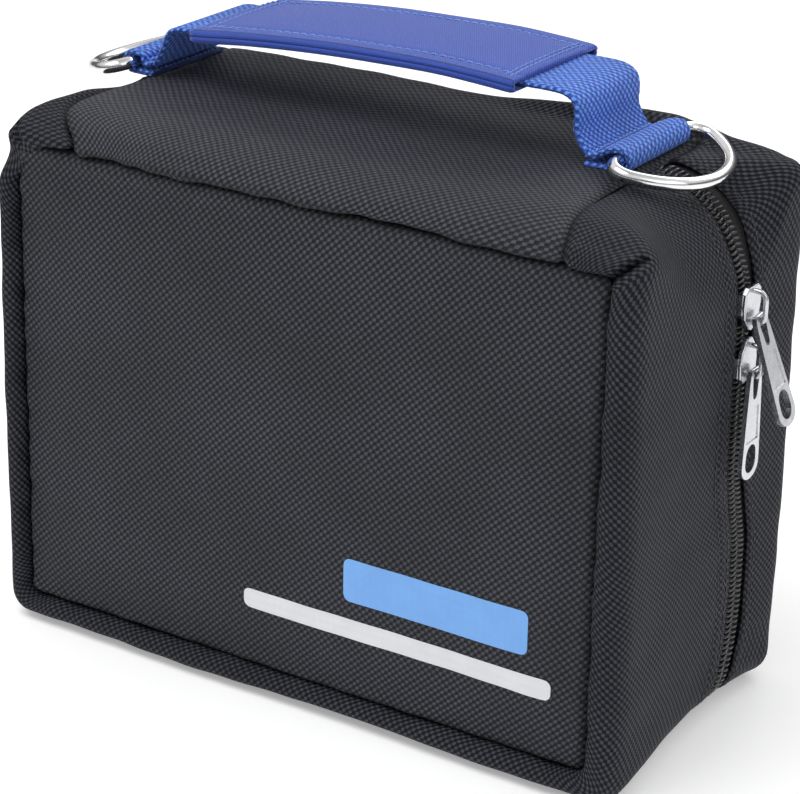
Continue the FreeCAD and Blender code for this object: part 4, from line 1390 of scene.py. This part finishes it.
# ------------------------------------------------------------------ grip sleeve
# cloth folded round the strap, thicker than the strap, open at both ends
(GRIP_X0, GRIP_Y0, _), (GRIP_X1, GRIP_Y1, _) = box_mm("grip_sleeve")
covered = ((strap_line[:, 0] >= GRIP_X0) & (strap_line[:, 0] <= GRIP_X1)
           & (strap_line[:, 1] > 186.0))
grip_line, grip_normal = strap_line[covered], strap_normal[covered]
grip_run = strap_run[covered] - strap_run[covered][0]
kept = np.unique(np.concatenate([np.arange(0, len(grip_line), 3), [len(grip_line) - 1]]))
grip_line, grip_normal, grip_run = grip_line[kept], grip_normal[kept], grip_run[kept]
GRIP_COUNT = len(grip_line)
grip_drift = 0.25 * np.sin(grip_run / 19.0) + 0.12 * np.sin(grip_run / 6.1)
CROWN_POINTS = 45


def sleeve_section():
    """(y, height) round the sleeve: crowned top, a notch in each edge, flat underside."""
    centre, half = (GRIP_Y0 + GRIP_Y1) / 2, (GRIP_Y1 - GRIP_Y0) / 2
    section = []
    for k in range(CROWN_POINTS):
        v = math.cos(math.pi * (1 - k / (CROWN_POINTS - 1.0)))
        y = centre + (half - 0.9) * v
        groove = 0.35 * math.exp(-((half - abs(y - centre) - 6.0) / 1.0) ** 2)
        section.append((y, 2.5 + 0.45 * (1 - v * v) - groove))

    def edge(notch):
        """(distance in from the edge, height), from the top down."""
        return [(0.45, 2.1), (0.12, 1.6), (0, 1.0), (0.1, 0.65), (notch, 0.42), (0.1, 0.2),
                (0, -0.2), (0.12, -0.9), (0.5, -1.45)]
    section += [(GRIP_Y1 - inset, height) for inset, height in edge(0.65)]
    for k in range(24):
        v = math.cos(math.pi * k / 23.0)
        section.append((centre + (half - 0.9) * v, -1.75 - 0.1 * (1 - v * v)))
    section += [(GRIP_Y0 + inset, height) for inset, height in edge(0.75)[::-1]]
    return np.array(section)


section = sleeve_section()


def off_grip(height, y):
    """Points at heights above the strap's centre line; the line runs down the first axis."""
    return join(grip_line[:, 0:1] + grip_normal[:, 0:1] * height, y,
                grip_line[:, 1:2] + grip_normal[:, 1:2] * height)


def grip_sleeve():
    around = len(section)
    height = section[None, :, 1]
    # the two ends are drawn in towards the middle of the thickness
    from_end = np.minimum(grip_run, grip_run[-1] - grip_run)
    draw, middle_height = 0.55 * bell(from_end, 0.8), 0.25
    drawn = middle_height + (height - middle_height) * (1 - 0.35 * draw[:, None])
    outer = off_grip(drawn, section[None, :, 0] + grip_drift[:, None] * 0.5)
    outer[..., 2] += 0.14 * wave_field(21, (18, 50))(outer) * (height > 1.5)
    # the inner face follows the strap
    inner = off_grip(np.clip(height, -1.15, 1.15),
                     np.clip(section[None, :, 0], GRIP_Y0 + 1.3, GRIP_Y1 - 1.3))
    uv = join(grip_run[:, None], run_length(section)[None]).reshape(-1, 2)
    inside = GRIP_COUNT * around
    last = (GRIP_COUNT - 1) * around
    ring = [(j, (j + 1) % around) for j in range(around)]
    faces = []
    for i in range(GRIP_COUNT - 1):
        here, ahead = i * around, (i + 1) * around
        for j, after in ring:
            faces.append((here + j, ahead + j, ahead + after, here + after))
            faces.append((inside + here + j, inside + here + after,
                          inside + ahead + after, inside + ahead + j))
    for j, after in ring:
        faces.append((j, after, inside + after, inside + j))
        faces.append((last + after, last + j, inside + last + j, inside + last + after))
    co = np.concatenate([outer.reshape(-1, 3), inner.reshape(-1, 3)])
    ob = make_object("grip_sleeve_cloth", co, faces, np.concatenate([uv, uv]), "handle", GRIP)
    recalc_normals(ob)
    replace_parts(ob, "grip_sleeve")


def grip_padding():
    """Foam sheet inside the sleeve, over the strap."""
    ys = np.linspace(GRIP_Y0 + 4, GRIP_Y1 - 4, 6)
    grid = off_grip(1.9, ys[None]).transpose(1, 0, 2)
    uv = join(grip_run[None], ys[:, None])
    sign = 1.0 if grid_normals(grid)[..., 2].mean() > 0 else -1.0
    ob = shell("grip_padding_sheet", grid[:, 3:-3], uv[:, 3:-3], 0.6, "handle", FOAM,
               sign)
    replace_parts(ob, "grip_padding")


def sleeve_point(y, i):
    height = np.interp(y, section[:CROWN_POINTS, 0], section[:CROWN_POINTS, 1])
    return np.array([grip_line[i, 0] + grip_normal[i, 0] * height, y + grip_drift[i] * 0.5,
                     grip_line[i, 1] + grip_normal[i, 1] * height])


def grip_stitching():
    """A line along each edge, two across each end, and three loose thread ends."""
    pile = Pile()
    for y in (GRIP_Y0 + 6.0, GRIP_Y1 - 6.0):
        index = np.arange(2, GRIP_COUNT - 2)
        line = np.array([sleeve_point(y, i) for i in index])
        normals = join(grip_normal[index, 0], 0, grip_normal[index, 1])
        pile.stitch(line, normals, length=2.6, gap=0.5, radius=0.26, lift=0.03)
    for inset in (2.2, 4.4):
        for at in (inset, grip_run[-1] - inset):
            i = int(np.argmin(np.abs(grip_run - at)))
            ys = np.linspace(GRIP_Y0 + 3.0, GRIP_Y1 - 3.0, 60)
            line = np.array([sleeve_point(y, i) for y in ys])
            normals = np.repeat([[grip_normal[i, 0], 0, grip_normal[i, 1]]], 60, 0)
            pile.stitch(line, normals, length=2.2, gap=0.5, radius=0.24, lift=0.03)
    for k in range(3):
        start = sleeve_point(GRIP_Y0 + 6.0, 6 + 2 * k)
        path = [start + np.array([0.0, 0.0, 0.1])]
        for j in range(1, 9):
            path.append(start + np.array([-0.55 * j + 0.5 * math.sin(j + k),
                                          -0.45 * j * (0.6 + 0.3 * k),
                                          0.35 + 0.28 * math.sin(j * 0.9 + k)]))
        pile.add(*thread(path, 0.16, up=(0, 0.2, 1.0)))
    pile.build("grip_stitching", "handle", THREAD)


def loop_stitching(label, bar, fold, side, xs):
    """Two rows of stitches across a ring loop, at xs."""
    knee = (bar[0] - side * 3.4, bar[2] + WRAP_RADIUS - 0.6)
    foot = (fold + side * 3.6, bar[2] - WRAP_RADIUS + WEB_THICK + 1.3)
    slope_x, slope_z = zip(*sorted([knee, foot]))
    ys = np.linspace(WEB_Y0 + 2.0, WEB_Y1 - 2.0, 50)
    pile = Pile()
    for x in xs:
        z = np.interp(x, slope_x, slope_z) + WEB_THICK / 2 + 0.12
        pile.stitch(join(x, ys, z), np.repeat([[0, 0, 1.0]], 50, 0), length=2.2, gap=0.6,
                    radius=0.24, lift=0.0)
    pile.build("loop_stitching_" + label, "rear_shell", THREAD)


grip_sleeve()
grip_padding()
grip_stitching()
loop_stitching("right", BAR_RIGHT, FOLD_RIGHT, 1,
               (FOLD_RIGHT + 2.0 + 0.8, BAR_RIGHT[0] - 4.5 - 0.8))
loop_stitching("left", BAR_LEFT, FOLD_LEFT, -1,
               (BAR_LEFT[0] + 4.2 + 0.8, FOLD_LEFT - 1.6 - 0.8))

# ------------------------------------------------------------------ metal pieces keep their mesh
for mat, names in ((CHROME, ("d_ring_right", "d_ring_left")),
                   (NICKEL, ("slider_upper", "slider_lower", "pull_upper", "pull_lower"))):
    for name in names:
        materials = pieces[name].data.materials
        materials.clear()
        materials.append(mat)

# ------------------------------------------------------------------ stage, in metres
scene = bpy.context.scene


def build_floor():
    half, z = 6, -0.0006
    mesh = bpy.data.meshes.new("floor")
    mesh.from_pydata([(-half, -half, z), (half, -half, z), (half, half, z), (-half, half, z)],
                     [], [(0, 1, 2, 3)])
    floor = bpy.data.objects.new("floor", mesh)
    scene.collection.objects.link(floor)
    material, nodes, shader = new_material("floor_white")
    nodes.fill(shader, {"Base Color": (0.93, 0.93, 0.93), "Roughness": 0.9,
                        "Emission Color": (1.0, 1.0, 1.0), "Emission Strength": 0.28})
    mesh.materials.append(material)


def build_world():
    """White to the camera, plain light for diffuse rays, a banded sky in reflections."""
    world = bpy.data.worlds.new("studio")
    scene.world = world
    world.use_nodes = True
    tree = world.node_tree
    nodes = Nodes(tree)

    def background(node, colour, strength):
        nodes.fill(node, {0: colour, 1: strength})
        return node.outputs[0]

    def choose(factor, first, second):
        node = nodes.new("ShaderNodeMixShader")
        nodes.fill(node, {0: factor, 1: first, 2: second})
        return node.outputs[0]
    white = (1.0, 1.0, 1.0)
    diffuse = background(tree.nodes["Background"], white, strength=0.55)
    rays = nodes.new("ShaderNodeLightPath")
    coords = nodes.new("ShaderNodeTexCoord")
    up = nodes.separate(coords.outputs["Generated"])[2]
    # grey against height, 0 straight down and 1 straight up
    bands = nodes.ramp(nodes.calc("MULTIPLY_ADD", up, 0.5, 0.5), (0.0, 0.5), (0.40, 0.45),
                       (0.50, 0.16), (0.58, 0.13), (0.74, 0.85), (0.88, 0.95), (1.0, 0.55))
    glossy = background(nodes.new("ShaderNodeBackground"), bands, strength=0.9)
    seen = background(nodes.new("ShaderNodeBackground"), white, strength=1.0)
    light = choose(rays.outputs["Is Glossy Ray"], diffuse, glossy)
    light = choose(rays.outputs["Is Camera Ray"], light, seen)
    nodes.feed(tree.nodes["World Output"].inputs[0], light)


def area_light(name, place, aim, size, power):
    light = bpy.data.lights.new(name, "AREA")
    light.shape = "RECTANGLE"
    light.size, light.size_y = size
    light.energy = power
    light.color = (1, 1, 1)
    ob = bpy.data.objects.new(name, light)
    scene.collection.objects.link(ob)
    ob.location = place
    ob.rotation_mode = "QUATERNION"
    ob.rotation_quaternion = (Vector(aim) - Vector(place)).to_track_quat("-Z", "Y")


def build_camera():
    place = Vector((0.425866, -0.662033, 0.409767))
    forward = Vector((-0.49515227, 0.78006768, -0.38251621)).normalized()
    roll = math.radians(1.24694589)
    data = bpy.data.cameras.new("camera")
    camera = bpy.data.objects.new("camera", data)
    scene.collection.objects.link(camera)
    data.sensor_fit = "HORIZONTAL"
    data.sensor_width = 36.0
    data.lens = 123.534
    data.clip_start, data.clip_end = 0.05, 20.0
    level = forward.cross(Vector((0, 0, 1))).normalized()
    right = level * math.cos(roll) + level.cross(forward) * math.sin(roll)
    up = right.cross(forward)
    rows = [(right[k], up[k], -forward[k], place[k]) for k in range(3)]
    camera.matrix_world = Matrix((*rows, (0, 0, 0, 1)))
    scene.camera = camera


build_floor()
build_world()
area_light("key", place=(-0.35, -0.55, 1.35), aim=(0, 0, 0.09), size=(1.1, 0.9), power=10.5)
area_light("side", place=(1.25, -0.25, 0.75), aim=(0, 0, 0.09), size=(0.9, 0.9), power=2.2)
area_light("back", place=(0.2, 1.1, 1.0), aim=(0, 0, 0.12), size=(1.2, 0.6), power=5.0)
build_camera()
scene.view_settings.view_transform = "Standard"
scene.view_settings.look = "None"
